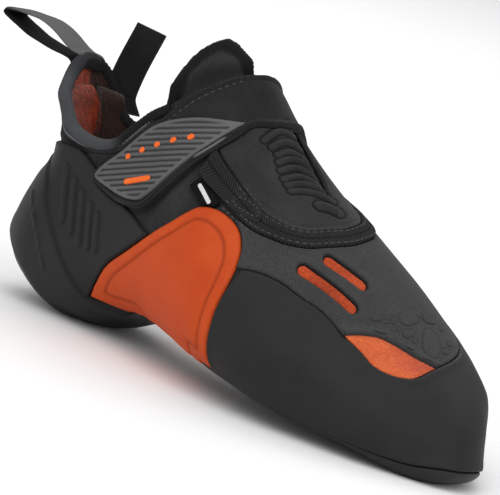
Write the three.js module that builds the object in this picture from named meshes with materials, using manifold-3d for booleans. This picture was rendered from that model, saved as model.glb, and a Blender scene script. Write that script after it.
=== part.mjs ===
// Climbing shoe for the right foot, in millimetres.
// X runs from the heel to the toe, Y to the inner (big toe) side, Z up from the floor.
import * as THREE from 'three';
import Module from 'manifold-3d';

const wasm = await Module();
wasm.setup();

// Sizes of the last
const LENGTH = 235;
const BALL_WIDTH = 84;
const INSTEP_HEIGHT = 92;
const ARCH_RISE = 11;

// How far the rounded ends reach along the shoe, as shares of the length
const HEEL_ROUND = 0.145;
const TOE_ROUND = 0.145;
const HEEL_BLEND = 0.3;
const TOE_BLEND = 0.19;
const HEEL_POWER = 7;
const TOE_POWER = 3.2;
const TOE_PLAN_POWER = 2.2;
const BLEND_POWER = 1.5;

// Thicknesses
const GAP = 0.3;
const OVERLAY = 1.4;
const WALL = 2;
const SOLE = 4;
const INSOLE = 2;
const TONGUE = 2.6;
const RAISED = 0.9;
const STRAP_RISE = 1.2;
const PATCH_RISE = 0.8;
const BINDING_WIDTH = 3;
const BINDING_LIP = 0.9;
const MARGIN = 9;
const WEBBING = 1.1;

// The origin lies on the heel's flat spot, this share of the length from the heel's back
const HEEL_REST = 0.19;
const LOOP_WIDTH = 12;

// How far a face must look down, as the sine of its slope, to begin and to finish taking the
// offset of the underside
const DOWN_FROM = 0.35;
const DOWN_FULL = 0.9;

// Levels above which the outlines seen from above cut, as shares of the instep height
const VAMP_LEVEL = 0.24;
const STRAP_LEVEL = 0.3;
const UNDER_LEVEL = 0.33;
const TONGUE_LEVEL = 0.4;
const INSTEP_LEVEL = 0.45;
const THROAT_LEVEL = 0.5;

// Where the rubber of the forefoot begins and the insole ends, as shares of the length
const FOREFOOT = 0.621;
const INSOLE_END = 0.95;

// How the tongue stands out above the collar line
const FLARE = 4;
const FLARE_FROM = 3;
const FLARE_TO = 10;

// Fineness of the faceted forms
const STATIONS = 24;
const AROUND = 24;
const ROUND_STEPS = 6;
const FAR = 400;

// Cross sections of the whole shoe.
// outer, inner, ridge and centre are shares of the ball width, top is a share of the instep
// height, bottom a share of the arch rise, widest the share of the height of the widest line.
const SECTIONS = rows(
  ['along', 'outer', 'inner', 'bottom', 'top', 'ridge', 'widest', 'under', 'over', 'centre'],
  [0.00, 0.320, 0.322, 0.90, 1.390, 0.000, 0.26, 2.2, 2.4, 0.000],
  [0.06, 0.332, 0.336, 0.35, 1.390, 0.000, 0.26, 2.2, 2.4, 0.000],
  [0.14, 0.354, 0.354, -0.12, 1.390, 0.000, 0.26, 2.4, 2.3, 0.000],
  [0.24, 0.356, 0.352, 0.05, 1.375, 0.000, 0.27, 2.5, 2.1, 0.000],
  [0.32, 0.365, 0.342, 0.69, 1.345, 0.005, 0.28, 2.5, 2.0, 0.000],
  [0.40, 0.381, 0.349, 1.00, 1.180, 0.015, 0.30, 2.5, 1.9, 0.002],
  [0.48, 0.415, 0.389, 0.90, 1.006, 0.062, 0.32, 2.6, 1.8, 0.004],
  [0.56, 0.460, 0.462, 0.62, 0.864, 0.094, 0.34, 2.7, 1.8, 0.016],
  [0.64, 0.487, 0.517, 0.47, 0.754, 0.119, 0.36, 2.9, 1.8, 0.034],
  [0.72, 0.473, 0.539, 0.29, 0.630, 0.143, 0.38, 3.0, 1.9, 0.052],
  [0.80, 0.413, 0.515, 0.20, 0.497, 0.148, 0.42, 3.0, 2.0, 0.080],
  [0.88, 0.322, 0.440, 0.08, 0.399, 0.141, 0.46, 3.0, 2.1, 0.094],
  [0.95, 0.210, 0.355, -0.20, 0.321, 0.123, 0.50, 2.5, 2.2, 0.094],
  [1.00, 0.131, 0.343, 0.15, 0.269, 0.107, 0.50, 2.5, 2.2, 0.093],
);

// Side profile of the heel back: height as a share of the instep height, shift of the length
const HEEL_BACK = rows(
  ['height', 'shift'],
  [-0.04, 0.128],
  [0.01, 0.077],
  [0.09, 0.028],
  [0.15, 0.004],
  [0.22, 0.002],
  [0.27, 0.009],
  [0.33, 0.022],
  [0.41, 0.037],
  [0.50, 0.057],
  [0.58, 0.079],
  [0.68, 0.073],
  [0.76, 0.060],
  [0.84, 0.034],
  [1.04, 0.017],
  [1.48, 0.005],
);

// Side profile of the toe front
const TOE_FRONT = rows(
  ['height', 'shift'],
  [-0.04, -0.027],
  [0.04, 0.013],
  [0.13, -0.007],
  [0.24, -0.023],
  [0.35, -0.042],
  [0.50, -0.084],
);

// Collar line from the heel tab forward: share of the length, share of the instep height
const RIM_OUTER = [
  [-0.10, 1.00], [0.012, 0.990], [0.024, 0.960], [0.042, 0.905], [0.068, 0.845], [0.102, 0.818],
  [0.136, 0.783], [0.187, 0.739], [0.230, 0.736], [0.267, 0.769], [0.286, 0.824], [0.316, 0.913],
  [0.340, 0.962], [0.374, 1.054], [0.408, 1.152], [0.450, 1.290], [0.480, 1.520],
];
const RIM_INNER = [
  [-0.10, 1.00], [0.012, 0.990], [0.025, 0.955], [0.040, 0.900], [0.054, 0.835], [0.080, 0.755],
  [0.120, 0.720], [0.170, 0.707], [0.230, 0.717], [0.267, 0.760], [0.290, 0.824], [0.316, 0.904],
  [0.340, 0.962], [0.374, 1.054], [0.408, 1.152], [0.450, 1.290], [0.480, 1.520],
];
const BINDING_FRONT = 0.345;

// Side outlines: share of the length, share of the instep height
const ARCH_OUTLINE = [
  [0.285, 0.139], [0.291, 0.160], [0.304, 0.209], [0.332, 0.307], [0.372, 0.395], [0.418, 0.503],
  [0.451, 0.578], [0.477, 0.648], [0.490, 0.672], [0.512, 0.683], [0.537, 0.676], [0.562, 0.653],
  [0.583, 0.617], [0.604, 0.557], [0.615, 0.490], [0.620, 0.413], [FOREFOOT, 0.250], [FOREFOOT, -0.10],
  [0.400, -0.10], [0.395, 0.150], [0.350, 0.135],
];
const CUP_OUTLINE = [
  [-0.10, 0.640], [0.080, 0.640], [0.150, 0.660], [0.200, 0.668], [0.259, 0.611], [0.300, 0.572],
  [0.357, 0.533], [0.396, 0.495], [0.414, 0.490], [0.410, -0.10], [-0.10, -0.10],
];
const STRIP_OUTLINE = [
  [-0.10, 0.600], [0.100, 0.600], [0.148, 0.529], [0.168, 0.425], [0.208, 0.309], [0.251, 0.203],
  [0.283, 0.139], [0.350, 0.128], [0.392, 0.140], [0.395, -0.10], [-0.10, -0.10],
];
const STRAP_OUTLINE = [
  [0.253, 0.606], [0.300, 0.745], [0.349, 0.905], [0.374, 1.030], [0.392, 1.098], [0.420, 1.200],
  [0.520, 1.200], [0.500, 1.070], [0.475, 1.004], [0.464, 0.987], [0.459, 0.913], [0.442, 0.819],
  [0.418, 0.695], [0.387, 0.580], [0.354, 0.554], [0.299, 0.560],
];
const PATCH_OUTLINE = [
  [0.262, 0.612], [0.306, 0.742], [0.350, 0.880], [0.402, 0.952], [0.457, 0.984], [0.444, 0.880],
  [0.408, 0.700], [0.380, 0.606], [0.350, 0.582], [0.300, 0.588],
];
const LABEL_OUTLINE = [[0.452, 0.722], [0.462, 0.772], [0.515, 0.704], [0.502, 0.656]];

// Height of the edge line between the outsole and the rubber above it
const SOLE_EDGE = [
  [-0.10, 0.315], [0.000, 0.305], [0.045, 0.255], [0.085, 0.200], [0.136, 0.135], [0.165, 0.070],
  [0.200, 0.045], [0.300, 0.085], [0.400, 0.165], [0.480, 0.175], [0.560, 0.140], [0.640, 0.108],
  [0.720, 0.085], [0.800, 0.070], [0.880, 0.058], [0.950, 0.055], [1.000, 0.080], [1.100, 0.090],
];

// Plan of the outsole: share of the length, outer and inner shares of the ball width
const SOLE_PLAN = rows(
  ['along', 'outer', 'inner'],
  [-0.05, 0.40, 0.40],
  [0.24, 0.37, 0.37],
  [0.33, 0.26, 0.28],
  [0.42, 0.17, 0.23],
  [0.50, 0.17, 0.24],
  [0.57, 0.27, 0.34],
  [0.63, 0.52, 0.62],
  [1.05, 0.60, 0.75],
);

// Plan of the opening under the upper: its ends, its width as a share of the width inside the
// margin, how round its ends are and how far it lies to each side of the middle at the least
const UNDER_OPENING = [0.12, 0.90];
const UNDER_WIDTH = 0.8;
const UNDER_ROUND = 0.35;
const UNDER_LEAST = 2;
const UNDER_POINTS = 13;

// Plan outlines: share of the length, share of the ball width
const VAMP_PLAN = [
  [0.560, -0.420], [0.618, -0.365], [0.651, -0.319], [0.681, -0.280], [0.718, -0.243],
  [0.747, -0.199], [0.770, -0.176], [0.789, -0.162], [0.820, -0.130], [0.850, -0.107],
  [0.873, -0.048], [0.885, 0.034], [0.874, 0.167], [0.858, 0.290], [0.832, 0.395],
  [0.790, 0.462], [0.740, 0.480], [0.690, 0.470], [0.640, 0.450], [0.560, 0.440],
];
const TAPE_LINE = [
  [0.452, -0.268], [0.490, -0.262], [0.526, -0.254], [0.558, -0.245], [0.587, -0.229],
  [0.612, -0.198], [0.629, -0.166], [0.645, -0.110], [0.652, -0.058], [0.658, 0.020],
  [0.660, 0.083], [0.654, 0.160], [0.640, 0.230], [0.610, 0.285], [0.570, 0.315],
  [0.520, 0.320], [0.452, 0.310],
];
const TAPE_WIDTH = 5.5;
const TOE_PATCH_PLAN = [
  [0.753, -0.170], [0.768, -0.105], [0.779, -0.037], [0.779, 0.060], [0.779, 0.148],
  [0.782, 0.300], [0.800, 0.410], [0.826, 0.385], [0.850, 0.285], [0.868, 0.180],
  [0.858, 0.107], [0.835, 0.045], [0.813, -0.020], [0.799, -0.096], [0.791, -0.155],
];
const CRESCENT_PLAN = [
  [0.791, -0.155], [0.799, -0.096], [0.813, -0.020], [0.835, 0.045], [0.858, 0.107],
  [0.874, 0.167], [0.884, 0.034], [0.873, -0.048], [0.850, -0.107], [0.820, -0.130],
];
const SLOT_WIDTH = 3.6;
const SLOT_LOW = [[0.682, -0.188], [0.760, -0.073]];
const SLOT_HIGH = [[0.686, -0.069], [0.733, 0.022]];
const THROAT_LINE = [[0.405, 0.105], [0.480, 0.118], [0.530, 0.118], [0.575, 0.120]];
const THROAT_WIDTHS = [7, 6, 4, 2];
const TONGUE_PLAN = [
  [0.317, -0.400], [0.317, -0.100], [0.345, -0.040], [0.375, 0.000], [0.395, 0.120], [0.395, 0.350], [0.520, 0.330], [0.640, 0.280],
  [0.640, -0.120], [0.520, -0.210], [0.400, -0.290],
];
const TONGUE_TOP = [
  [0.317, 0.860], [0.327, 1.000], [0.331, 1.090], [0.335, 1.168], [0.346, 1.232], [0.355, 1.256],
  [0.367, 1.250], [0.378, 1.232], [0.420, 1.300], [0.460, 1.520], [-0.10, 1.520], [-0.10, 0.860],
];

// Pull loops. The heel loop's middle line lies in the middle plane of the shoe: share of the
// length, share of the instep height, from outside the heel tab round to its inside.
const HEEL_LOOP_PATH = [
  [0.026, 0.859], [0.024, 0.891], [0.019, 0.920], [0.006, 0.934], [-0.036, 0.938], [-0.068, 0.945],
  [-0.100, 0.954], [-0.128, 0.970], [-0.153, 0.985], [-0.167, 0.998], [-0.163, 1.016],
  [-0.147, 1.024], [-0.119, 1.028], [-0.083, 1.031], [-0.057, 1.022], [-0.034, 1.006],
  [-0.017, 0.990], [0.000, 0.975], [0.015, 0.967], [0.030, 0.965], [0.040, 0.953], [0.044, 0.933],
  [0.045, 0.915],
];
const HEEL_LOOP_STEPS = 24;

// The side loop rises outside the inner side of the collar. Its middle line: level as a share of
// the instep height, share of the length, share of the ball width.
const SIDE_LOOP_PATH = rows(
  ['level', 'along', 'across'],
  [0.772, 0.0647, 0.1950],
  [0.837, 0.0489, 0.1845],
  [0.913, 0.0500, 0.1940],
  [1.120, 0.0591, 0.2370],
);
const SIDE_LOOP_TURN = 56;

function rows(columns, ...values) {
  return values.map((row) => Object.fromEntries(columns.map((name, i) => [name, row[i]])));
}

// Smooth, monotone interpolation of one column of a table
function along(table, key, column, at) {
  const last = table.length - 1;
  if (at <= table[0][key]) return table[0][column];
  if (at >= table[last][key]) return table[last][column];
  let i = 0;
  while (table[i + 1][key] < at) i += 1;
  const slope = (k) => {
    if (k <= 0 || k >= last) return 0;
    const before = rise(table, key, column, k - 1);
    const after = rise(table, key, column, k);
    return before * after <= 0 ? 0 : (2 * before * after) / (before + after);
  };
  const step = table[i + 1][key] - table[i][key];
  const t = (at - table[i][key]) / step;
  const a = table[i][column];
  const b = table[i + 1][column];
  const start = i === 0 ? rise(table, key, column, 0) : slope(i);
  const end = i + 1 === last ? rise(table, key, column, i) : slope(i + 1);
  const t2 = t * t;
  const t3 = t2 * t;
  return a * (2 * t3 - 3 * t2 + 1) + b * (3 * t2 - 2 * t3)
    + step * (start * (t3 - 2 * t2 + t) + end * (t3 - t2));
}

function rise(table, key, column, i) {
  return (table[i + 1][column] - table[i][column]) / (table[i + 1][key] - table[i][key]);
}

// A point of the shoe's outside: share runs 0 to 1 from heel to toe, turn once around
function outside(share, turn) {
  const at = (column) => along(SECTIONS, 'along', column, share);
  const heel = Math.max(0, 1 - share / HEEL_ROUND);
  const toe = Math.max(0, 1 - (1 - share) / TOE_ROUND);
  const narrow = Math.sqrt(1 - heel ** 2) * Math.sqrt(1 - toe ** TOE_PLAN_POWER);
  const shorten = (1 - heel ** HEEL_POWER) ** (1 / HEEL_POWER) * (1 - toe ** TOE_POWER) ** (1 / TOE_POWER);
  const bottom = at('bottom') * ARCH_RISE;
  const top = at('top') * INSTEP_HEIGHT;
  const middle = bottom + (top - bottom) * at('widest');
  const cos = Math.cos(turn);
  const sin = Math.sin(turn);
  const power = 2 / (sin < 0 ? at('under') : at('over'));
  const side = Math.sign(cos) * Math.abs(cos) ** power;
  const lift = Math.sign(sin) * Math.abs(sin) ** power;
  const width = at(cos > 0 ? 'inner' : 'outer') * BALL_WIDTH * narrow;
  const ridge = lift > 0 ? at('ridge') * BALL_WIDTH * narrow * lift ** 2 : 0;
  const height = (lift < 0 ? middle - bottom : top - middle) * shorten;
  const z = middle + height * lift;
  const level = z / INSTEP_HEIGHT;
  const back = Math.max(0, 1 - share / HEEL_BLEND) ** BLEND_POWER;
  const front = Math.max(0, 1 - (1 - share) / TOE_BLEND) ** BLEND_POWER;
  const shift = back * along(HEEL_BACK, 'height', 'shift', level)
    + front * along(TOE_FRONT, 'height', 'shift', level);
  return new THREE.Vector3(
    (share + shift) * LENGTH,
    at('centre') * BALL_WIDTH + width * side + ridge,
    z,
  );
}

const SHARES = Array.from({ length: STATIONS }, (_, i) => (1 - Math.cos((Math.PI * i) / (STATIONS - 1))) / 2);

function outwardNormal(i, turn) {
  const step = 0.02;
  if (i === 0 || i === STATIONS - 1) return new THREE.Vector3();
  const share = SHARES[i];
  const reach = Math.min(step, share / 3, (1 - share) / 3);
  const lengthways = outside(share + reach, turn).sub(outside(share - reach, turn));
  const sideways = outside(share, turn + step).sub(outside(share, turn - step));
  return sideways.cross(lengthways).normalize();
}

// A closed form inside (or outside) the shoe's surface.
// side is the offset where the surface faces sideways or up, under where it faces the floor.
const GRID = SHARES.map((share, i) => Array.from({ length: AROUND }, (_, j) => {
  const turn = (2 * Math.PI * (j + 0.5)) / AROUND;
  return { point: outside(share, turn), normal: outwardNormal(i, turn) };
}));

// The closing point of an end, facing the mean way of the ring beside it
function endPoint(end, ring) {
  const normal = new THREE.Vector3();
  GRID[ring].forEach((node) => normal.add(node.normal));
  return { point: GRID[end][0].point, normal: normal.normalize() };
}

function form(side, under, flare = () => 0) {
  const positions = [];
  const index = [];
  const place = (node) => {
    const down = THREE.MathUtils.smoothstep(-node.normal.z, DOWN_FROM, DOWN_FULL);
    const offset = THREE.MathUtils.lerp(side, under, down) + flare(node.point);
    const p = node.point.clone().addScaledVector(node.normal, offset);
    positions.push(p.x, p.y, p.z);
  };
  place(endPoint(0, 1));
  for (let i = 1; i < STATIONS - 1; i += 1) GRID[i].forEach(place);
  place(endPoint(STATIONS - 1, STATIONS - 2));
  const ring = (i, j) => 1 + (i - 1) * AROUND + (j % AROUND);
  const end = 1 + (STATIONS - 2) * AROUND;
  for (let j = 0; j < AROUND; j += 1) {
    index.push(0, ring(1, j + 1), ring(1, j));
    for (let i = 1; i < STATIONS - 2; i += 1) {
      index.push(ring(i, j), ring(i, j + 1), ring(i + 1, j));
      index.push(ring(i, j + 1), ring(i + 1, j + 1), ring(i + 1, j));
    }
    index.push(end, ring(STATIONS - 2, j), ring(STATIONS - 2, j + 1));
  }
  return facing(positions, index);
}

function signedVolume(positions, index) {
  let sum = 0;
  const at = (k) => new THREE.Vector3().fromArray(positions, 3 * k);
  for (let t = 0; t < index.length; t += 3) {
    sum += at(index[t]).dot(at(index[t + 1]).cross(at(index[t + 2]))) / 6;
  }
  return sum;
}

// A solid from points and triangles, turned so that its faces look out
function facing(positions, index) {
  const triVerts = new Uint32Array(index);
  if (signedVolume(positions, index) < 0) {
    for (let t = 0; t < triVerts.length; t += 3) {
      [triVerts[t], triVerts[t + 1]] = [triVerts[t + 1], triVerts[t]];
    }
  }
  const mesh = new wasm.Mesh({ numProp: 3, vertProperties: new Float32Array(positions), triVerts });
  mesh.merge();
  return new wasm.Manifold(mesh);
}

function solid(geometry) {
  const source = geometry.clone();
  source.deleteAttribute('normal');
  source.deleteAttribute('uv');
  const merged = mergeClose(source);
  return facing(merged.positions, merged.index);
}

function mergeClose(geometry) {
  const flat = geometry.index ? geometry.toNonIndexed() : geometry;
  const array = flat.attributes.position.array;
  const seen = new Map();
  const positions = [];
  const index = [];
  for (let i = 0; i < array.length; i += 3) {
    const key = `${Math.round(array[i] * 1e4)},${Math.round(array[i + 1] * 1e4)},${Math.round(array[i + 2] * 1e4)}`;
    if (!seen.has(key)) {
      seen.set(key, positions.length / 3);
      positions.push(array[i], array[i + 1], array[i + 2]);
    }
    index.push(seen.get(key));
  }
  return { positions, index };
}

const sideView = ([x, z]) => new THREE.Vector2(x * LENGTH, z * INSTEP_HEIGHT);
const planView = ([x, y]) => new THREE.Vector2(x * LENGTH, y * BALL_WIDTH);

// A prism through the shoe from an outline seen from the side, between two widths
function sidePrism(points, from = -FAR, to = FAR) {
  const geometry = new THREE.ExtrudeGeometry(new THREE.Shape(points), { depth: to - from, bevelEnabled: false });
  geometry.rotateX(Math.PI / 2);
  geometry.translate(0, to, 0);
  return solid(geometry);
}

// A prism through the shoe from an outline seen from above, between two heights
function planPrism(points, from = -FAR, to = FAR) {
  const geometry = new THREE.ExtrudeGeometry(new THREE.Shape(points), { depth: to - from, bevelEnabled: false });
  geometry.translate(0, 0, from);
  return solid(geometry);
}

function box(min, max) {
  const size = new THREE.Vector3().subVectors(max, min);
  const geometry = new THREE.BoxGeometry(size.x, size.y, size.z);
  geometry.translate((min.x + max.x) / 2, (min.y + max.y) / 2, (min.z + max.z) / 2);
  return solid(geometry);
}

// Moves an open line sideways by a distance, to its left when that is positive
function beside(points, distance) {
  return points.map((p, i) => {
    const before = points[Math.max(0, i - 1)];
    const after = points[Math.min(points.length - 1, i + 1)];
    const run = after.clone().sub(before).normalize();
    return new THREE.Vector2(p.x - run.y * distance, p.y + run.x * distance);
  });
}

// Grows a closed outline by a distance, or shrinks it when that is negative
function grown(points, distance) {
  const sign = THREE.ShapeUtils.area(points) > 0 ? 1 : -1;
  const count = points.length;
  return points.map((p, i) => {
    const before = p.clone().sub(points[(i + count - 1) % count]).normalize();
    const after = points[(i + 1) % count].clone().sub(p).normalize();
    const run = before.add(after).normalize();
    return new THREE.Vector2(p.x + run.y * distance * sign, p.y - run.x * distance * sign);
  });
}

// A closed outline around an open line, with a width for each of its points
function ribbon(points, widths) {
  const half = (i) => (Array.isArray(widths) ? widths[i] : widths) / 2;
  const left = points.map((p, i) => beside(points, half(i))[i]);
  const right = points.map((p, i) => beside(points, -half(i))[i]);
  return [...left, ...right.reverse()];
}

// A slot with round ends
function capsule([start, end], width) {
  const run = end.clone().sub(start);
  const turn = Math.atan2(run.y, run.x);
  const points = [];
  for (const [centre, from] of [[end, turn - Math.PI / 2], [start, turn + Math.PI / 2]]) {
    for (let k = 0; k <= ROUND_STEPS; k += 1) {
      const angle = from + (Math.PI * k) / ROUND_STEPS;
      points.push(new THREE.Vector2(
        centre.x + (Math.cos(angle) * width) / 2,
        centre.y + (Math.sin(angle) * width) / 2,
      ));
    }
  }
  return points;
}

// Everything above the collar line, lowered by a distance measured square to the line
function aboveRim(drop) {
  const half = (line, from, to) => {
    const lowered = beside(line.map(sideView), -drop);
    const lid = [new THREE.Vector2(lowered.at(-1).x, FAR), new THREE.Vector2(-LENGTH, FAR)];
    lowered[0].x = -LENGTH;
    return sidePrism([...lowered, ...lid], from, to);
  };
  return half(RIM_OUTER, -FAR, 0).add(half(RIM_INNER, 0, FAR));
}

// Closed forms, from the outside in
const skin = form(0, 0);
const underOverlay = form(-OVERLAY, -SOLE);
const upperOut = form(-OVERLAY - GAP, -SOLE - GAP);
const cavity = form(-OVERLAY - GAP - WALL, -SOLE - GAP - WALL);
const insoleOut = form(-OVERLAY - WALL - 2 * GAP, -SOLE - WALL - 2 * GAP);
const insoleTop = form(OVERLAY, -SOLE - WALL - 2 * GAP - INSOLE);
const shell = skin.subtract(underOverlay);

// Regions
const overFloor = box(new THREE.Vector3(-FAR, -FAR, 0), new THREE.Vector3(FAR, FAR, FAR));
const soleLine = SOLE_EDGE.map(sideView);
const underLine = (lift) => sidePrism([
  ...beside(soleLine, lift),
  new THREE.Vector2(FAR, -FAR),
  new THREE.Vector2(-FAR, -FAR),
]);
const solePlan = (grow) => planPrism([
  ...SOLE_PLAN.map((row) => new THREE.Vector2(row.along * LENGTH, -row.outer * BALL_WIDTH - grow)),
  ...SOLE_PLAN.map((row) => new THREE.Vector2(row.along * LENGTH, row.inner * BALL_WIDTH + grow)).reverse(),
]);
const soleZone = (grow) => underLine(grow).intersect(solePlan(grow));
const sideZone = (outline, grow, from, to) => sidePrism(grown(outline.map(sideView), grow), from, to);
const topZone = (outline, grow) => planPrism(grown(outline.map(planView), grow), INSTEP_HEIGHT * VAMP_LEVEL);

const archZone = (grow) => sideZone(ARCH_OUTLINE, grow);
const cupZone = sideZone(CUP_OUTLINE, 0);
const stripZone = sideZone(STRIP_OUTLINE, 0);
const strapZone = (grow) => sideZone(STRAP_OUTLINE, grow, -FAR, INSTEP_HEIGHT * STRAP_LEVEL);
const vampZone = (grow) => topZone(VAMP_PLAN, grow);
const instepArea = TAPE_LINE.map(planView);
const instepZone = (grow) => planPrism(grown(instepArea, grow), INSTEP_HEIGHT * INSTEP_LEVEL);
const tapeArea = ribbon(TAPE_LINE.map(planView), TAPE_WIDTH);
const tapeZone = (grow) => planPrism(grown(tapeArea, grow), INSTEP_HEIGHT * INSTEP_LEVEL);
const crescentZone = (grow) => topZone(CRESCENT_PLAN, grow);
const toePatchZone = (grow) => topZone(TOE_PATCH_PLAN, grow);
const slotZone = (line, grow) => planPrism(
  capsule(line.map(planView), SLOT_WIDTH + 2 * grow),
  INSTEP_HEIGHT * VAMP_LEVEL,
);
const throat = planPrism(ribbon(THROAT_LINE.map(planView), THROAT_WIDTHS), INSTEP_HEIGHT * THROAT_LEVEL);
const forefoot = box(new THREE.Vector3(LENGTH * FOREFOOT + GAP, -FAR, -FAR), new THREE.Vector3(FAR, FAR, FAR));

// Outline of the opening in the upper's underside, a margin inside the last
function underOpening(grow) {
  const [first, last] = UNDER_OPENING;
  const edge = (column, sign) => Array.from({ length: UNDER_POINTS }, (_, k) => {
    const run = k / (UNDER_POINTS - 1);
    const share = THREE.MathUtils.lerp(first, last, run);
    const inset = (run === 1 ? grow : 0) - (run === 0 ? grow : 0);
    const round = Math.max(0, Math.sin(Math.PI * run)) ** UNDER_ROUND;
    const width = (along(SECTIONS, 'along', column, share) * BALL_WIDTH - MARGIN) * UNDER_WIDTH * round;
    const centre = along(SECTIONS, 'along', 'centre', share) * BALL_WIDTH;
    return new THREE.Vector2(share * LENGTH + inset, centre + sign * (width + UNDER_LEAST + grow));
  });
  return planPrism([...edge('outer', -1), ...edge('inner', 1).reverse()], -FAR, INSTEP_HEIGHT * UNDER_LEVEL);
}

// Pieces
const upper = upperOut
  .subtract(cavity)
  .subtract(aboveRim(BINDING_WIDTH + GAP))
  .subtract(throat)
  .subtract(underOpening(0));

const insole = insoleOut
  .add(upperOut.intersect(underOpening(-GAP)))
  .subtract(insoleTop)
  .intersect(box(new THREE.Vector3(-FAR, -FAR, -FAR), new THREE.Vector3(LENGTH * INSOLE_END, FAR, FAR)));

const outsole = shell.intersect(soleZone(0)).intersect(overFloor);

const cup = shell
  .add(form(RAISED, 0).subtract(underOverlay).intersect(stripZone))
  .intersect(cupZone)
  .intersect(overFloor)
  .subtract(archZone(GAP))
  .subtract(strapZone(GAP))
  .subtract(soleZone(GAP));

const rand = shell
  .intersect(forefoot)
  .intersect(overFloor)
  .subtract(vampZone(GAP))
  .subtract(soleZone(GAP));

const arch = shell.intersect(archZone(0)).subtract(soleZone(GAP)).intersect(overFloor);
const archOuter = arch.intersect(box(new THREE.Vector3(-FAR, -FAR, -FAR), new THREE.Vector3(FAR, 0, FAR)));
const archInner = arch.intersect(box(new THREE.Vector3(-FAR, 0, -FAR), new THREE.Vector3(FAR, FAR, FAR)));

const instep = shell
  .intersect(instepZone(0))
  .subtract(tapeZone(GAP))
  .subtract(strapZone(GAP))
  .subtract(throat)
  .subtract(aboveRim(0));

const vamp = shell
  .intersect(vampZone(0))
  .subtract(instepZone(GAP))
  .subtract(tapeZone(GAP))
  .subtract(archZone(GAP))
  .subtract(crescentZone(GAP))
  .subtract(toePatchZone(GAP))
  .subtract(slotZone(SLOT_LOW, GAP))
  .subtract(slotZone(SLOT_HIGH, GAP));

const raisedShell = form(RAISED, RAISED).subtract(underOverlay);
const sunkShell = form(-OVERLAY / 2, -OVERLAY / 2).subtract(underOverlay);
const toePatch = raisedShell.intersect(toePatchZone(0)).intersect(vampZone(0));
const crescent = sunkShell.intersect(crescentZone(0)).intersect(vampZone(0)).subtract(toePatchZone(GAP));
const slotLow = sunkShell.intersect(slotZone(SLOT_LOW, 0));
const slotHigh = sunkShell.intersect(slotZone(SLOT_HIGH, 0));
const tape = raisedShell.intersect(tapeZone(0)).subtract(strapZone(GAP)).subtract(archZone(GAP));

const strap = form(STRAP_RISE, STRAP_RISE).subtract(underOverlay).intersect(strapZone(0));
const strapPatch = form(STRAP_RISE + GAP + PATCH_RISE, 0)
  .subtract(form(STRAP_RISE + GAP, STRAP_RISE + GAP))
  .intersect(sideZone(PATCH_OUTLINE, 0, -FAR, 0));

const label = form(-GAP, -GAP)
  .subtract(form(-OVERLAY, -OVERLAY))
  .intersect(sideZone(LABEL_OUTLINE, 0, -FAR, 0))
  .subtract(strapZone(GAP))
  .subtract(archZone(GAP))
  .subtract(tapeZone(GAP));

// The tongue stands out further the higher it rises over the straight front of the collar line
const [collarStart, , , collarEnd] = RIM_OUTER.slice(-5).map(sideView);
const collarSlope = (collarEnd.y - collarStart.y) / (collarEnd.x - collarStart.x);
const flare = (p) => {
  const collar = collarStart.y + collarSlope * (p.x - collarStart.x);
  return FLARE * THREE.MathUtils.smoothstep(p.z - collar, FLARE_FROM, FLARE_TO);
};
const inner = OVERLAY + WALL + 3 * GAP;
const tongue = form(-inner, -inner, flare)
  .subtract(form(-inner - TONGUE, -inner - TONGUE, flare))
  .intersect(planPrism(TONGUE_PLAN.map(planView), INSTEP_HEIGHT * TONGUE_LEVEL))
  .subtract(sidePrism(TONGUE_TOP.map(sideView)));

const beforeTongue = box(
  new THREE.Vector3(-FAR, -FAR, -FAR),
  new THREE.Vector3(BINDING_FRONT * LENGTH, FAR, FAR),
);
const binding = form(-OVERLAY - GAP + BINDING_LIP, 0)
  .subtract(form(-OVERLAY - GAP - WALL, -SOLE))
  .intersect(aboveRim(BINDING_WIDTH))
  .subtract(aboveRim(0))
  .intersect(beforeTongue)
  .subtract(strapZone(GAP));

// A flat webbing ribbon bent along a path in the middle plane of the shoe
function heelLoop() {
  const curve = new THREE.SplineCurve(HEEL_LOOP_PATH.map(sideView));
  return sidePrism(ribbon(curve.getPoints(HEEL_LOOP_STEPS), WEBBING), -LOOP_WIDTH / 2, LOOP_WIDTH / 2);
}

// A folded webbing flap, open at its foot, that leans along its path up the collar wall
function sideLoop() {
  const levels = SIDE_LOOP_PATH.map((row) => row.level * INSTEP_HEIGHT);
  const top = levels.pop();
  const fold = WEBBING + GAP / 2;
  const leg = (x) => [...levels, top - WEBBING].map((z) => new THREE.Vector2(x, z));
  const shape = new THREE.Shape([
    ...leg(-GAP / 2),
    ...leg(GAP / 2).reverse(),
    ...leg(fold),
    new THREE.Vector2(fold / 2, top),
    new THREE.Vector2(-fold / 2, top),
    ...leg(-fold).reverse(),
  ]);
  const geometry = new THREE.ExtrudeGeometry(shape, { depth: LOOP_WIDTH, bevelEnabled: false });
  geometry.rotateX(Math.PI / 2);
  geometry.translate(0, LOOP_WIDTH / 2, 0);
  geometry.rotateZ(THREE.MathUtils.degToRad(SIDE_LOOP_TURN - 90));
  const points = geometry.attributes.position;
  for (let i = 0; i < points.count; i += 1) {
    const level = points.getZ(i) / INSTEP_HEIGHT;
    points.setX(i, points.getX(i) + along(SIDE_LOOP_PATH, 'level', 'along', level) * LENGTH);
    points.setY(i, points.getY(i) + along(SIDE_LOOP_PATH, 'level', 'across', level) * BALL_WIDTH);
  }
  return solid(geometry);
}

const group = new THREE.Group();
group.name = 'climbing_shoe';
group.position.x = -HEEL_REST * LENGTH;

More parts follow.
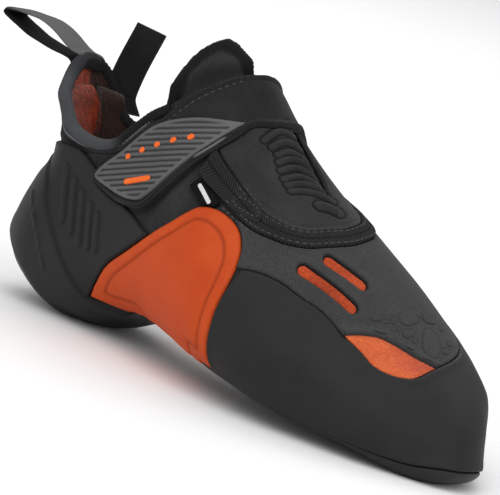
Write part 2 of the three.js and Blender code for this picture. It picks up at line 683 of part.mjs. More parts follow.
// Keeps the largest closed body of a solid and adds it to the shoe
function add(name, piece, color, roughness) {
  const mesh = piece.getMesh();
  const stride = mesh.numProp;
  const count = mesh.vertProperties.length / stride;
  const parent = Array.from({ length: count }, (_, i) => i);
  const root = (i) => {
    let k = i;
    while (parent[k] !== k) {
      parent[k] = parent[parent[k]];
      k = parent[k];
    }
    return k;
  };
  for (let t = 0; t < mesh.triVerts.length; t += 3) {
    parent[root(mesh.triVerts[t])] = root(mesh.triVerts[t + 1]);
    parent[root(mesh.triVerts[t + 1])] = root(mesh.triVerts[t + 2]);
  }
  const bodies = new Map();
  for (let t = 0; t < mesh.triVerts.length; t += 3) {
    const key = root(mesh.triVerts[t]);
    if (!bodies.has(key)) bodies.set(key, []);
    bodies.get(key).push(mesh.triVerts[t], mesh.triVerts[t + 1], mesh.triVerts[t + 2]);
  }
  const largest = [...bodies.values()].sort((a, b) => b.length - a.length)[0] ?? [];
  const used = new Map();
  const positions = [];
  const index = largest.map((v) => {
    if (!used.has(v)) {
      used.set(v, positions.length / 3);
      positions.push(...mesh.vertProperties.slice(v * stride, v * stride + 3));
    }
    return used.get(v);
  });
  const geometry = new THREE.BufferGeometry();
  geometry.setAttribute('position', new THREE.Float32BufferAttribute(positions, 3));
  geometry.setIndex(index);
  geometry.computeVertexNormals();
  const result = new THREE.Mesh(geometry, new THREE.MeshStandardMaterial({ color, roughness }));
  result.name = name;
  group.add(result);
}

add('upper', upper, 0x2d2d2e, 0.9);
add('insole', insole, 0x5a2a18, 0.95);
add('outsole', outsole, 0x1f1f20, 0.7);
add('rand', rand, 0x262627, 0.65);
add('heel_cup', cup, 0x29292a, 0.6);
add('arch_panel_outer', archOuter, 0xcf4b14, 0.6);
add('arch_panel_inner', archInner, 0xcf4b14, 0.6);
add('vamp', vamp, 0x3a3a3b, 0.9);
add('toe_patch', toePatch, 0x222223, 0.6);
add('toe_crescent', crescent, 0xe05a1c, 0.85);
add('vent_low', slotLow, 0xe05a1c, 0.85);
add('vent_high', slotHigh, 0xe05a1c, 0.85);
add('instep_panel', instep, 0x323233, 0.95);
add('seam_tape', tape, 0x39393a, 0.85);
add('strap', strap, 0x262627, 0.95);
add('strap_patch', strapPatch, 0x6b6b6b, 0.6);
add('tongue', tongue, 0x38383a, 0.95);
add('collar_binding', binding, 0x555556, 0.95);
add('label_flag', label, 0x151515, 0.9);
add('heel_pull_loop', heelLoop(), 0x6b6b6b, 0.9);
add('side_pull_loop', sideLoop(), 0x1c1c1c, 0.9);

export default group;
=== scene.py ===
"""Climbing shoe for the right foot: the looks of every piece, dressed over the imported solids.

The surface of the last is worked out here again from its table of sections, in millimetres measured
from the back of the heel, and every panel is a stretch of that surface with its own height and relief.
"""

import math

import bpy
import numpy as np
from mathutils import Matrix, Vector
from mathutils.kdtree import KDTree


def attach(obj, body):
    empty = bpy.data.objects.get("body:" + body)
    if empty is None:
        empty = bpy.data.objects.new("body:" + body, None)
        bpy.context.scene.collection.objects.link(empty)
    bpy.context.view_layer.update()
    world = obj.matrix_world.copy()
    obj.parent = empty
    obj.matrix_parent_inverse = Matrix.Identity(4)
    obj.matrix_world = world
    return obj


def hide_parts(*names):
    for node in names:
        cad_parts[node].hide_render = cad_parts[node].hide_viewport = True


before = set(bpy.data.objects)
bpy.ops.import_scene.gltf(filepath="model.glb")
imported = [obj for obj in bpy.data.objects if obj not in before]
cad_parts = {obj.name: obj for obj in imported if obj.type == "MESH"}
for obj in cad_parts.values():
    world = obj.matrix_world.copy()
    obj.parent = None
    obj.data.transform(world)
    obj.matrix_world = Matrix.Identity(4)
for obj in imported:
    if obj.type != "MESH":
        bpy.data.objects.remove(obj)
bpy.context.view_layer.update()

# Sizes of the last
LENGTH = 235.0
BALL_WIDTH = 84.0
INSTEP_HEIGHT = 92.0
ARCH_RISE = 11.0
HEEL_ROUND = 0.145
TOE_ROUND = 0.145
HEEL_BLEND = 0.3
TOE_BLEND = 0.19
TOE_PLAN_POWER = 2.2
HEEL_REST = 0.19

# Thicknesses and levels, measured from the skin of the last
OVERLAY = 1.4
GAP = 0.3
WALL = 2.0
SOLE = 4.0
UPPER_LEVEL = -OVERLAY - GAP
LINING_LEVEL = UPPER_LEVEL - WALL
INSOLE_TOP = -8.6
STRAP_RISE = 1.2
RAISED = 0.9

MM = 0.001

SECTIONS = np.array([
    # along, outer, inner, bottom, top, ridge, widest, under, over, centre
    [0.00, 0.320, 0.322, 0.90, 1.390, 0.000, 0.26, 2.2, 2.4, 0.000],
    [0.06, 0.332, 0.336, 0.35, 1.390, 0.000, 0.26, 2.2, 2.4, 0.000],
    [0.14, 0.354, 0.354, -0.12, 1.390, 0.000, 0.26, 2.4, 2.3, 0.000],
    [0.24, 0.356, 0.352, 0.05, 1.375, 0.000, 0.27, 2.5, 2.1, 0.000],
    [0.32, 0.365, 0.342, 0.69, 1.345, 0.005, 0.28, 2.5, 2.0, 0.000],
    [0.40, 0.381, 0.349, 1.00, 1.180, 0.015, 0.30, 2.5, 1.9, 0.002],
    [0.48, 0.415, 0.389, 0.90, 1.006, 0.062, 0.32, 2.6, 1.8, 0.004],
    [0.56, 0.460, 0.462, 0.62, 0.864, 0.094, 0.34, 2.7, 1.8, 0.016],
    [0.64, 0.487, 0.517, 0.47, 0.754, 0.119, 0.36, 2.9, 1.8, 0.034],
    [0.72, 0.473, 0.539, 0.29, 0.630, 0.143, 0.38, 3.0, 1.9, 0.052],
    [0.80, 0.413, 0.515, 0.20, 0.497, 0.148, 0.42, 3.0, 2.0, 0.080],
    [0.88, 0.322, 0.440, 0.08, 0.399, 0.141, 0.46, 3.0, 2.1, 0.094],
    [0.95, 0.210, 0.355, -0.20, 0.321, 0.123, 0.50, 2.5, 2.2, 0.094],
    [1.00, 0.131, 0.343, 0.15, 0.269, 0.107, 0.50, 2.5, 2.2, 0.093],
])
COLUMNS = ["along", "outer", "inner", "bottom", "top", "ridge", "widest", "under", "over", "centre"]
HEEL_BACK = np.array([
    [-0.04, 0.128], [0.01, 0.077], [0.09, 0.028], [0.15, 0.004], [0.22, 0.002], [0.27, 0.009],
    [0.33, 0.022], [0.41, 0.037], [0.50, 0.057], [0.58, 0.079], [0.68, 0.073], [0.76, 0.060],
    [0.84, 0.034], [1.04, 0.017], [1.48, 0.005],
])
TOE_FRONT = np.array([
    [-0.04, -0.027], [0.04, 0.013], [0.13, -0.007], [0.24, -0.023], [0.35, -0.042], [0.50, -0.084],
])

# Outlines seen from the side: share of the length, share of the instep height
RIM_OUTER = [
    [-0.10, 1.00], [0.012, 0.990], [0.024, 0.960], [0.042, 0.905], [0.068, 0.845], [0.102, 0.818],
    [0.136, 0.783], [0.187, 0.739], [0.230, 0.736], [0.267, 0.769], [0.286, 0.824], [0.316, 0.913],
    [0.340, 0.962], [0.374, 1.054], [0.408, 1.152], [0.450, 1.290], [0.480, 1.520],
]
RIM_INNER = [
    [-0.10, 1.00], [0.012, 0.990], [0.025, 0.955], [0.040, 0.900], [0.054, 0.835], [0.080, 0.755],
    [0.120, 0.720], [0.170, 0.707], [0.230, 0.717], [0.267, 0.760], [0.290, 0.824], [0.316, 0.904],
    [0.340, 0.962], [0.374, 1.054], [0.408, 1.152], [0.450, 1.290], [0.480, 1.520],
]
BINDING_FRONT = 0.345
ARCH_OUTLINE = [
    [0.285, 0.139], [0.291, 0.160], [0.304, 0.209], [0.332, 0.307], [0.372, 0.395], [0.418, 0.503],
    [0.451, 0.578], [0.477, 0.648], [0.490, 0.672], [0.512, 0.683], [0.537, 0.676], [0.562, 0.653],
    [0.583, 0.617], [0.604, 0.557], [0.615, 0.490], [0.620, 0.413], [0.621, 0.250], [0.621, -0.10],
    [0.400, -0.10], [0.395, 0.150], [0.350, 0.135],
]
CUP_OUTLINE = [
    [-0.10, 0.640], [0.080, 0.640], [0.150, 0.660], [0.200, 0.668], [0.259, 0.611], [0.300, 0.572],
    [0.357, 0.533], [0.396, 0.495], [0.414, 0.490], [0.410, -0.10], [-0.10, -0.10],
]
STRIP_OUTLINE = [
    [-0.10, 0.600], [0.100, 0.600], [0.148, 0.529], [0.168, 0.425], [0.208, 0.309], [0.251, 0.203],
    [0.283, 0.139], [0.350, 0.128], [0.392, 0.140], [0.395, -0.10], [-0.10, -0.10],
]
STRAP_OUTLINE = [
    [0.253, 0.606], [0.300, 0.745], [0.349, 0.905], [0.374, 1.030], [0.392, 1.098], [0.420, 1.200],
    [0.520, 1.200], [0.500, 1.070], [0.475, 1.004], [0.464, 0.987], [0.459, 0.913], [0.442, 0.819],
    [0.418, 0.695], [0.387, 0.580], [0.354, 0.554], [0.299, 0.560],
]
PATCH_OUTLINE = [
    [0.262, 0.612], [0.306, 0.742], [0.350, 0.880], [0.402, 0.952], [0.457, 0.984], [0.444, 0.880],
    [0.408, 0.700], [0.380, 0.606], [0.350, 0.582], [0.300, 0.588],
]
LABEL_OUTLINE = [[0.452, 0.722], [0.462, 0.772], [0.515, 0.704], [0.502, 0.656]]
SOLE_EDGE = [
    [-0.10, 0.315], [0.000, 0.305], [0.045, 0.255], [0.085, 0.200], [0.136, 0.135], [0.165, 0.070],
    [0.200, 0.045], [0.300, 0.085], [0.400, 0.165], [0.480, 0.175], [0.560, 0.140], [0.640, 0.108],
    [0.720, 0.085], [0.800, 0.070], [0.880, 0.058], [0.950, 0.055], [1.000, 0.080], [1.100, 0.090],
]

# Outlines seen from above: share of the length, share of the ball width
SOLE_PLAN = [
    [-0.05, -0.40], [0.24, -0.37], [0.33, -0.26], [0.42, -0.17], [0.50, -0.17], [0.57, -0.27],
    [0.63, -0.52], [1.05, -0.60], [1.05, 0.75], [0.63, 0.62], [0.57, 0.34], [0.50, 0.24],
    [0.42, 0.23], [0.33, 0.28], [0.24, 0.37], [-0.05, 0.40],
]
VAMP_PLAN = [
    [0.560, -0.420], [0.618, -0.365], [0.651, -0.319], [0.681, -0.280], [0.718, -0.243],
    [0.747, -0.199], [0.770, -0.176], [0.789, -0.162], [0.820, -0.130], [0.850, -0.107],
    [0.873, -0.048], [0.885, 0.034], [0.874, 0.167], [0.858, 0.290], [0.832, 0.395],
    [0.790, 0.462], [0.740, 0.480], [0.690, 0.470], [0.640, 0.450], [0.560, 0.440],
]
TAPE_LINE = [
    [0.452, -0.268], [0.490, -0.262], [0.526, -0.254], [0.558, -0.245], [0.587, -0.229],
    [0.612, -0.198], [0.629, -0.166], [0.645, -0.110], [0.652, -0.058], [0.658, 0.020],
    [0.660, 0.083], [0.654, 0.160], [0.640, 0.230], [0.610, 0.285], [0.570, 0.315],
    [0.520, 0.320], [0.452, 0.310],
]
TAPE_WIDTH = 5.5
TOE_PATCH_PLAN = [
    [0.753, -0.170], [0.768, -0.105], [0.779, -0.037], [0.779, 0.060], [0.779, 0.148],
    [0.782, 0.300], [0.800, 0.410], [0.826, 0.385], [0.850, 0.285], [0.868, 0.180],
    [0.858, 0.107], [0.835, 0.045], [0.813, -0.020], [0.799, -0.096], [0.791, -0.155],
]
CRESCENT_PLAN = [
    [0.791, -0.155], [0.799, -0.096], [0.813, -0.020], [0.835, 0.045], [0.858, 0.107],
    [0.874, 0.167], [0.884, 0.034], [0.873, -0.048], [0.850, -0.107], [0.820, -0.130],
]
SLOT_WIDTH = 3.6
SLOT_LOW = [[0.682, -0.188], [0.760, -0.073]]
SLOT_HIGH = [[0.686, -0.069], [0.733, 0.022]]
THROAT_PLAN = [
    [0.400, 0.060], [0.470, 0.092], [0.500, 0.098], [0.530, 0.100], [0.560, 0.102], [0.590, 0.098],
    [0.566, 0.126], [0.536, 0.140], [0.500, 0.150], [0.470, 0.152], [0.400, 0.140],
]
TONGUE_PLAN = [
    [0.317, -0.400], [0.317, -0.150], [0.336, -0.105], [0.353, -0.075], [0.366, -0.039],
    [0.379, -0.012], [0.397, 0.040], [0.410, 0.120], [0.415, 0.350], [0.520, 0.330], [0.640, 0.280],
    [0.640, -0.120], [0.520, -0.210], [0.400, -0.290],
]
TONGUE_TOP = [
    [0.317, 0.860], [0.327, 1.000], [0.331, 1.090], [0.335, 1.168], [0.344, 1.232], [0.356, 1.275],
    [0.372, 1.310], [0.400, 1.370], [0.460, 1.520], [-0.10, 1.520], [-0.10, 0.860],
]
HEEL_LOOP_PATH = [
    [0.026, 0.859], [0.024, 0.891], [0.019, 0.920], [0.006, 0.934], [-0.036, 0.938], [-0.068, 0.945],
    [-0.100, 0.954], [-0.128, 0.970], [-0.153, 0.985], [-0.167, 0.998], [-0.163, 1.016],
    [-0.147, 1.024], [-0.119, 1.028], [-0.083, 1.031], [-0.057, 1.022], [-0.034, 1.006],
    [-0.017, 0.990], [0.000, 0.975], [0.015, 0.967], [0.030, 0.965], [0.040, 0.953], [0.044, 0.933],
    [0.045, 0.915],
]
LOOP_WIDTH = 12.0
WEBBING = 1.1
SIDE_LOOP_PATH = np.array([
    # level, along, across
    [0.772, 0.0647, 0.1950],
    [0.837, 0.0489, 0.1845],
    [0.913, 0.0500, 0.1940],
    [1.120, 0.0591, 0.2370],
])
SIDE_LOOP_TURN = 56.0
SIDE_LOOP_TILT = 0.2
FOREFOOT = 0.621
FLARE = 4
FLARE_FROM = 3
FLARE_TO = 10
ROLL = np.array([
    [-0.5, -3.8], [0.1, -3.1], [0.4, -1.9], [0.1, -0.6], [-0.9, 0.3], [-2.1, 0.6],
    [-3.3, 0.3], [-4.2, -0.6], [-4.5, -1.9], [-4.2, -3.1], [-3.4, -3.8],
])

# Lines on the skin, in millimetres from the back of the heel
COLLAR_SEAMS = [[[42.5, -28.6, 65.0], [47.1, -28.6, 62.5], [61.0, -29.3, 56.2]]]
LINING_SEAMS = [
    [[7.0, 0.5, 84.0], [10.0, 0.5, 72.0], [17.0, 0.5, 55.0]],
    [[9.5, 10.5, 80.0], [16.0, 15.0, 66.0], [24.0, 19.0, 52.0]],
]
COLLAR_PIPING = [
    [17.0, -18.0, 72.6], [22.0, -22.5, 70.4], [33.9, -28.0, 65.8], [46.4, -28.5, 63.8],
    [55.6, -28.4, 65.1], [65.7, -28.1, 68.9], [71.6, -27.2, 75.2], [77.8, -25.5, 82.8],
    [82.0, -24.2, 85.9],
]
COLLAR_LOW_SEAM = [
    [24.0, -24.0, 67.8], [34.5, -28.0, 63.6], [46.6, -28.6, 61.8], [56.4, -28.5, 63.1],
    [66.8, -28.2, 67.0], [73.0, -27.3, 73.4],
]
CUP_RIDGES = [
    [[44.0, -29.6, 53.5], [49.5, -29.7, 36.0]],
    [[50.0, -29.7, 51.0], [55.5, -29.8, 33.5]],
    [[56.0, -29.8, 48.0], [61.5, -29.7, 31.0]],
    [[62.0, -29.8, 45.5], [66.5, -29.7, 31.0]],
    [[67.5, -29.8, 43.0], [71.0, -29.7, 31.5]],
]
STRIP_DASHES = [
    [[29.0, -28.6, 40.0], [32.0, -29.0, 36.6]],
    [[34.6, -29.4, 33.4], [37.4, -29.5, 30.0]],
    [[39.6, -29.5, 27.0], [41.8, -29.3, 23.4]],
    [[43.4, -28.6, 20.6], [45.2, -27.8, 17.2]],
]
RAND_CREASES = [
    [[181.0, -14.5, 41.3], [183.2, -13.7, 40.3], [186.5, -13.2, 38.0], [190.0, -14.0, 34.0]],
    [[192.0, 38.0, 39.0], [199.4, 41.0, 33.9], [208.8, 38.7, 28.5]],
]
ARCH_INSET = 5.0
FOLDS = [
    [[114.1, -5.8, 87.7], [113.2, 1.0, 91.6], [115.5, 7.4, 90.6]],
    [[119.7, -3.5, 85.3], [120.1, 2.4, 86.9], [123.5, 7.6, 84.9]],
    [[123.7, -4.7, 81.5], [125.0, 2.2, 83.5], [130.0, 7.8, 80.7]],
    [[129.0, -5.5, 77.6], [130.5, 1.6, 79.5], [135.2, 7.6, 77.6]],
    [[133.0, -5.0, 75.2], [135.6, 1.7, 76.5], [140.2, 9.5, 74.9]],
]
FOLD_COUNT = 8
OVAL_FOLD = [[141.4, 2.5, 73.0], [143.0, 5.5, 73.0], [145.0, 8.4, 72.0]]
RIB_SLOPE = 0.35
RIB_PITCH = 1.95

# Small marks seen from the side: share of the length, share of the instep height
PATCH_TICKS = [
    [[0.338, 0.640], [0.380, 0.686]],
    [[0.322, 0.728], [0.323, 0.731]], [[0.345, 0.772], [0.346, 0.775]], [[0.368, 0.812], [0.369, 0.815]],
    [[0.391, 0.848], [0.392, 0.851]], [[0.414, 0.880], [0.415, 0.883]],
]
MARK_WIDTH = 2.0
LABEL_BAR = [[0.468, 0.736], [0.500, 0.692]]
STRAP_FRONT_PIPING = [
    [0.356, 0.557], [0.387, 0.583], [0.418, 0.697], [0.442, 0.820], [0.459, 0.914], [0.464, 0.975],
]
STRAP_LIGHT_PIPING = [[0.436, 0.815], [0.447, 0.868], [0.454, 0.920]]
STRAP_FRONT_STITCHES = [
    [0.362, 0.590], [0.378, 0.606], [0.406, 0.705], [0.430, 0.826], [0.446, 0.914], [0.452, 0.972],
]
STRAP_TOP_STITCHES = [
    [0.316, 0.745], [0.338, 0.820], [0.361, 0.900], [0.384, 1.010], [0.402, 1.082], [0.416, 1.140],
]

# Small pieces seen from above: share of the length, share of the ball width
TAB_PLAN = [
    [0.524, -0.262], [0.534, -0.282], [0.548, -0.279], [0.583, -0.247], [0.586, -0.232],
    [0.574, -0.206], [0.560, -0.207], [0.530, -0.235],
]
TAB_STITCHES = [
    [0.531, -0.262], [0.540, -0.269], [0.572, -0.243], [0.577, -0.231], [0.568, -0.217], [0.538, -0.240],
]
# Pebbles of the toe patch: place along and across, half length, half width, turn
PEBBLES = [
    [0.7838, 0.009, 2.8, 1.4, 85], [0.7892, -0.039, 1.1, 0.9, 73], [0.7817, -0.061, 1.0, 0.6, 74],
    [0.7878, -0.079, 0.8, 0.5, 81], [0.8026, 0.002, 3.5, 2.1, 61], [0.7931, 0.045, 1.5, 0.7, 90],
    [0.7937, 0.084, 2.0, 0.9, 139], [0.7912, 0.171, 5.1, 2.7, 104], [0.7867, 0.298, 4.0, 2.4, 104],
    [0.8166, 0.123, 3.1, 1.7, 101], [0.8179, 0.053, 2.0, 1.2, 142], [0.8075, 0.084, 1.0, 0.6, 119],
    [0.8308, 0.086, 1.8, 1.1, 91], [0.8302, 0.131, 1.4, 0.8, 115], [0.8401, 0.093, 1.7, 1.1, 66],
    [0.8350, 0.214, 7.6, 3.5, 140], [0.7995, 0.352, 3.0, 0.9, 130], [0.8460, 0.280, 2.5, 1.2, 112],
    [0.8536, 0.312, 3.0, 1.0, 110], [0.8295, 0.335, 1.9, 1.0, 110],
]


# Curves

def monotone(table, column, at):
    """Smooth, monotone interpolation of one column of a table."""
    xs = table[:, 0]
    ys = table[:, column]
    chord = np.diff(ys) / np.diff(xs)
    slope = np.zeros(len(xs))
    before = chord[:-1]
    after = chord[1:]
    same = before * after > 0
    total = np.where(same, before + after, 1)
    slope[1:-1] = np.where(same, 2 * before * after / total, 0)
    slope[0] = chord[0]
    slope[-1] = chord[-1]
    at = np.clip(at, xs[0], xs[-1])
    i = np.clip(np.searchsorted(xs, at, side="left") - 1, 0, len(xs) - 2)
    step = xs[i + 1] - xs[i]
    t = (at - xs[i]) / step
    t2 = t * t
    t3 = t2 * t
    ends = ys[i] * (2 * t3 - 3 * t2 + 1) + ys[i + 1] * (3 * t2 - 2 * t3)
    return ends + step * (slope[i] * (t3 - 2 * t2 + t) + slope[i + 1] * (t3 - t2))


def smoothstep(value, low, high):
    t = np.clip((value - low) / (high - low), 0, 1)
    return t * t * (3 - 2 * t)


def spline(points, closed=False, steps=8):
    """A smooth line through the points."""
    pts = np.asarray(points, float)
    if closed:
        ext = np.vstack([pts[-1:], pts, pts[:2]])
    else:
        ext = np.vstack([2 * pts[:1] - pts[1:2], pts, 2 * pts[-1:] - pts[-2:-1]])
    out = []
    for i in range(1, len(ext) - 2):
        p0, p1, p2, p3 = ext[i - 1:i + 3]
        d1 = max(np.linalg.norm(p2 - p1), 1e-9)
        m1 = (p2 - p0) / (d1 + max(np.linalg.norm(p1 - p0), 1e-9)) * d1
        m2 = (p3 - p1) / (d1 + max(np.linalg.norm(p3 - p2), 1e-9)) * d1
        for k in range(steps):
            t = k / steps
            t2 = t * t
            t3 = t2 * t
            out.append(p1 * (2 * t3 - 3 * t2 + 1) + m1 * (t3 - 2 * t2 + t)
                       + p2 * (3 * t2 - 2 * t3) + m2 * (t3 - t2))
    if not closed:
        out.append(pts[-1])
    return np.array(out)


def beside(points, distance):
    """Moves an open line sideways, to its left when the distance is positive."""
    run = np.gradient(points, axis=0)
    run /= np.linalg.norm(run, axis=1)[:, None]
    return points + np.stack([-run[:, 1], run[:, 0]], 1) * distance


def ribbon(points, width):
    return np.vstack([beside(points, width / 2), beside(points, -width / 2)[::-1]])


def capsule(start, end, width):
    run = np.subtract(end, start)
    turn = math.atan2(run[1], run[0])
    points = []
    for centre, first in ((end, turn - math.pi / 2), (start, turn + math.pi / 2)):
        for k in range(9):
            angle = first + math.pi * k / 8
            points.append([centre[0] + math.cos(angle) * width / 2,
                           centre[1] + math.sin(angle) * width / 2])
    return np.array(points)


def side_view(points):
    return np.asarray(points, float) * [LENGTH, INSTEP_HEIGHT]


def plan_view(points):
    return np.asarray(points, float) * [LENGTH, BALL_WIDTH]


def blended(points, corners=(), steps=6):
    """A closed outline, smooth everywhere but at the numbered corners."""
    pts = np.asarray(points, float)
    if not corners:
        return spline(pts, closed=True, steps=steps)
    marks = sorted(corners)
    out = []
    for a, b in zip(marks, marks[1:] + [marks[0] + len(pts)]):
        run = pts[[k % len(pts) for k in range(a, b + 1)]]
        out.append(spline(run, steps=steps)[:-1])
    return np.vstack(out)


# The surface of the last

def outside(share, turn):
    """Points of the skin; share runs 0 to 1 from heel to toe, turn once around."""
    at = {name: monotone(SECTIONS, i, share) for i, name in enumerate(COLUMNS) if i}
    heel = np.maximum(0, 1 - share / HEEL_ROUND)
    toe = np.maximum(0, 1 - (1 - share) / TOE_ROUND)
    narrow = np.sqrt(np.maximum(0, 1 - heel ** 2)) * np.sqrt(np.maximum(0, 1 - toe ** TOE_PLAN_POWER))
    shorten = np.maximum(0, 1 - heel ** 7) ** (1 / 7) * np.maximum(0, 1 - toe ** 3.2) ** (1 / 3.2)
    bottom = at["bottom"] * ARCH_RISE
    top = at["top"] * INSTEP_HEIGHT
    middle = bottom + (top - bottom) * at["widest"]
    cos = np.cos(turn)
    sin = np.sin(turn)
    power = 2 / np.where(sin < 0, at["under"], at["over"])
    across = np.sign(cos) * np.abs(cos) ** power
    lift = np.sign(sin) * np.abs(sin) ** power
    width = np.where(cos > 0, at["inner"], at["outer"]) * BALL_WIDTH * narrow
    ridge = np.where(lift > 0, at["ridge"] * BALL_WIDTH * narrow * lift ** 2, 0)
    height = np.where(lift < 0, middle - bottom, top - middle) * shorten
    z = middle + height * lift
    level = z / INSTEP_HEIGHT
    back = np.maximum(0, 1 - share / HEEL_BLEND) ** 1.5
    front = np.maximum(0, 1 - (1 - share) / TOE_BLEND) ** 1.5
    shift = back * monotone(HEEL_BACK, 1, level) + front * monotone(TOE_FRONT, 1, level)
    x = (share + shift) * LENGTH
    y = at["centre"] * BALL_WIDTH + width * across + ridge
    return np.stack([x, y, z], -1)


def share_of(p):
    """The share of the length at an even step p from heel to toe, fine at both ends."""
    return (1 - np.cos(np.pi * np.clip(p, 0, 1))) / 2


RING_ROWS = 321
RING_STEPS = 1441


def even_turns():
    """For rows from heel to toe, the turn at even steps of length around, from under the shoe."""
    rows = []
    turn = np.linspace(-0.5 * np.pi, 1.5 * np.pi, RING_STEPS)
    steps = np.linspace(0, 1, RING_STEPS)
    for p in np.linspace(0.002, 0.998, RING_ROWS):
        ring = outside(np.full(RING_STEPS, share_of(p)), turn)
        length = np.concatenate([[0], np.cumsum(np.linalg.norm(np.diff(ring, axis=0), axis=1))])
        rows.append(np.interp(steps, length / length[-1], turn))
    return np.array(rows)


TURNS = even_turns()


def turn_of(p, q):
    """The turn at step q around the shoe: 0 under it, 0.25 about inside, 0.5 on top, 0.75 outside."""
    lap = np.floor(q)
    row = np.clip((p - 0.002) / 0.996, 0, 1) * (RING_ROWS - 1)
    col = (q - lap) * (RING_STEPS - 1)
    i = np.clip(row.astype(int), 0, RING_ROWS - 2)
    j = np.clip(col.astype(int), 0, RING_STEPS - 2)
    a = row - i
    b = col - j
    low = TURNS[i, j] * (1 - b) + TURNS[i, j + 1] * b
    high = TURNS[i + 1, j] * (1 - b) + TURNS[i + 1, j + 1] * b
    return low * (1 - a) + high * a + lap * 2 * np.pi


def surface(p, q):
    """Points and outward normals at steps p along and q around."""
    shape = np.broadcast(p, q).shape
    p = np.broadcast_to(p, shape).ravel().astype(float)
    q = np.broadcast_to(q, shape).ravel().astype(float)
    share = share_of(p)
    turn = turn_of(p, q)
    point = outside(share, turn)
    inner = np.clip(share, 0.0006, 0.9994)
    reach = np.minimum(0.004, np.minimum(inner, 1 - inner) / 3)
    lengthways = outside(inner + reach, turn) - outside(inner - reach, turn)
    sideways = outside(inner, turn + 0.004) - outside(inner, turn - 0.004)
    normal = np.cross(sideways, lengthways)
    normal /= np.maximum(np.linalg.norm(normal, axis=1), 1e-12)[:, None]
    normal[share < 1e-6] = [-1, 0, 0]
    normal[share > 1 - 1e-6] = [1, 0, 0]
    return point.reshape(shape + (3,)), normal.reshape(shape + (3,))


# Regions: each is a function of points that gives how far inside it they are, in millimetres

class Outline:
    """Distance to a closed outline, kept on a fine raster."""

    CELL = 0.5
    REACH = 14.0

    def __init__(self, points, axes):
        self.axes = axes
        self.low = points.min(0) - self.REACH
        size = points.max(0) + self.REACH - self.low
        count = np.ceil(size / self.CELL).astype(int) + 1
        u = self.low[0] + np.arange(count[0]) * self.CELL
        v = self.low[1] + np.arange(count[1]) * self.CELL
        grid = np.stack(np.meshgrid(u, v, indexing="ij"), -1).reshape(-1, 2)
        self.field = self.measure(points, grid).reshape(count)

    @staticmethod
    def measure(points, places):
        a = points
        b = np.roll(points, -1, axis=0)
        run = b - a
        square = np.maximum((run ** 2).sum(1), 1e-12)
        best = np.full(len(places), 1e18)
        odd = np.zeros(len(places), bool)
        for k in range(len(a)):
            d = places - a[k]
            t = np.clip((d @ run[k]) / square[k], 0, 1)
            best = np.minimum(best, ((d - t[:, None] * run[k]) ** 2).sum(1))
            if a[k, 1] != b[k, 1]:
                cross = (a[k, 1] > places[:, 1]) != (b[k, 1] > places[:, 1])
                at = a[k, 0] + (places[:, 1] - a[k, 1]) / run[k, 1] * run[k, 0]
                odd ^= cross & (places[:, 0] < at)
        far = np.sqrt(best)
        return np.where(odd, far, -far)

    def __call__(self, points):
        place = (points[:, self.axes] - self.low) / self.CELL
        size = np.array(self.field.shape) - 1
        place = np.clip(place, 0, size - 1e-6)
        i = place.astype(int)
        a, b = (place - i).T
        f = self.field
        low = f[i[:, 0], i[:, 1]] * (1 - b) + f[i[:, 0], i[:, 1] + 1] * b
        high = f[i[:, 0] + 1, i[:, 1]] * (1 - b) + f[i[:, 0] + 1, i[:, 1] + 1] * b
        return low * (1 - a) + high * a


def side_zone(points, corners=()):
    return Outline(blended(side_view(points), corners), [0, 2])


def plan_zone(points, corners=()):
    return Outline(blended(plan_view(points), corners), [0, 1])


def under_line(points):
    """Everything under a line seen from the side."""
    line = spline(side_view(points), steps=5)
    lid = [[400, -60], [-60, -60]]
    return Outline(np.vstack([line, lid]), [0, 2])


arch_zone = side_zone(ARCH_OUTLINE, (0, 17, 18, 19))
cup_zone = side_zone(CUP_OUTLINE, (0, 8, 9, 10))
strip_zone = side_zone(STRIP_OUTLINE, (0, 8, 9, 10))
strap_zone = side_zone(STRAP_OUTLINE, (5, 6))
patch_zone = side_zone(PATCH_OUTLINE, (4,))
label_zone = side_zone(LABEL_OUTLINE, (0, 1, 2, 3))
below_sole_edge = under_line(SOLE_EDGE)
below_rim_outer = under_line(RIM_OUTER)
below_rim_inner = under_line(RIM_INNER)
sole_plan = plan_zone(SOLE_PLAN, (0, 7, 8, 15))
vamp_plan = plan_zone(VAMP_PLAN, (0, 19))
tape_curve = spline(plan_view(TAPE_LINE), steps=6)
tape_plan = Outline(ribbon(tape_curve, TAPE_WIDTH), [0, 1])
instep_plan = Outline(tape_curve, [0, 1])
toe_patch_plan = plan_zone(TOE_PATCH_PLAN, (0, 9, 14))
crescent_plan = plan_zone(CRESCENT_PLAN, (0, 5))
slot_low_plan = Outline(capsule(*plan_view(SLOT_LOW), SLOT_WIDTH), [0, 1])
slot_high_plan = Outline(capsule(*plan_view(SLOT_HIGH), SLOT_WIDTH), [0, 1])
throat_plan = plan_zone(THROAT_PLAN, (0, 5, 10))
tongue_plan = plan_zone(TONGUE_PLAN, (0, 8))
tongue_lid = side_zone(TONGUE_TOP, (9, 10, 0))


def above(level):
    return lambda pts: pts[:, 2] - level


def outer_half(pts):
    return -pts[:, 1]


def inner_half(pts):
    return pts[:, 1]


def below_rim(pts):
    return np.where(pts[:, 1] < 0, below_rim_outer(pts), below_rim_inner(pts))


def sole_region(pts):
    return np.minimum(below_sole_edge(pts), sole_plan(pts))


def both(*parts):
    return lambda pts: np.minimum.reduce([part(pts) for part in parts])


def apart(part, *others, gap=GAP):
    return lambda pts: np.minimum.reduce([part(pts)] + [-other(pts) - gap for other in others])


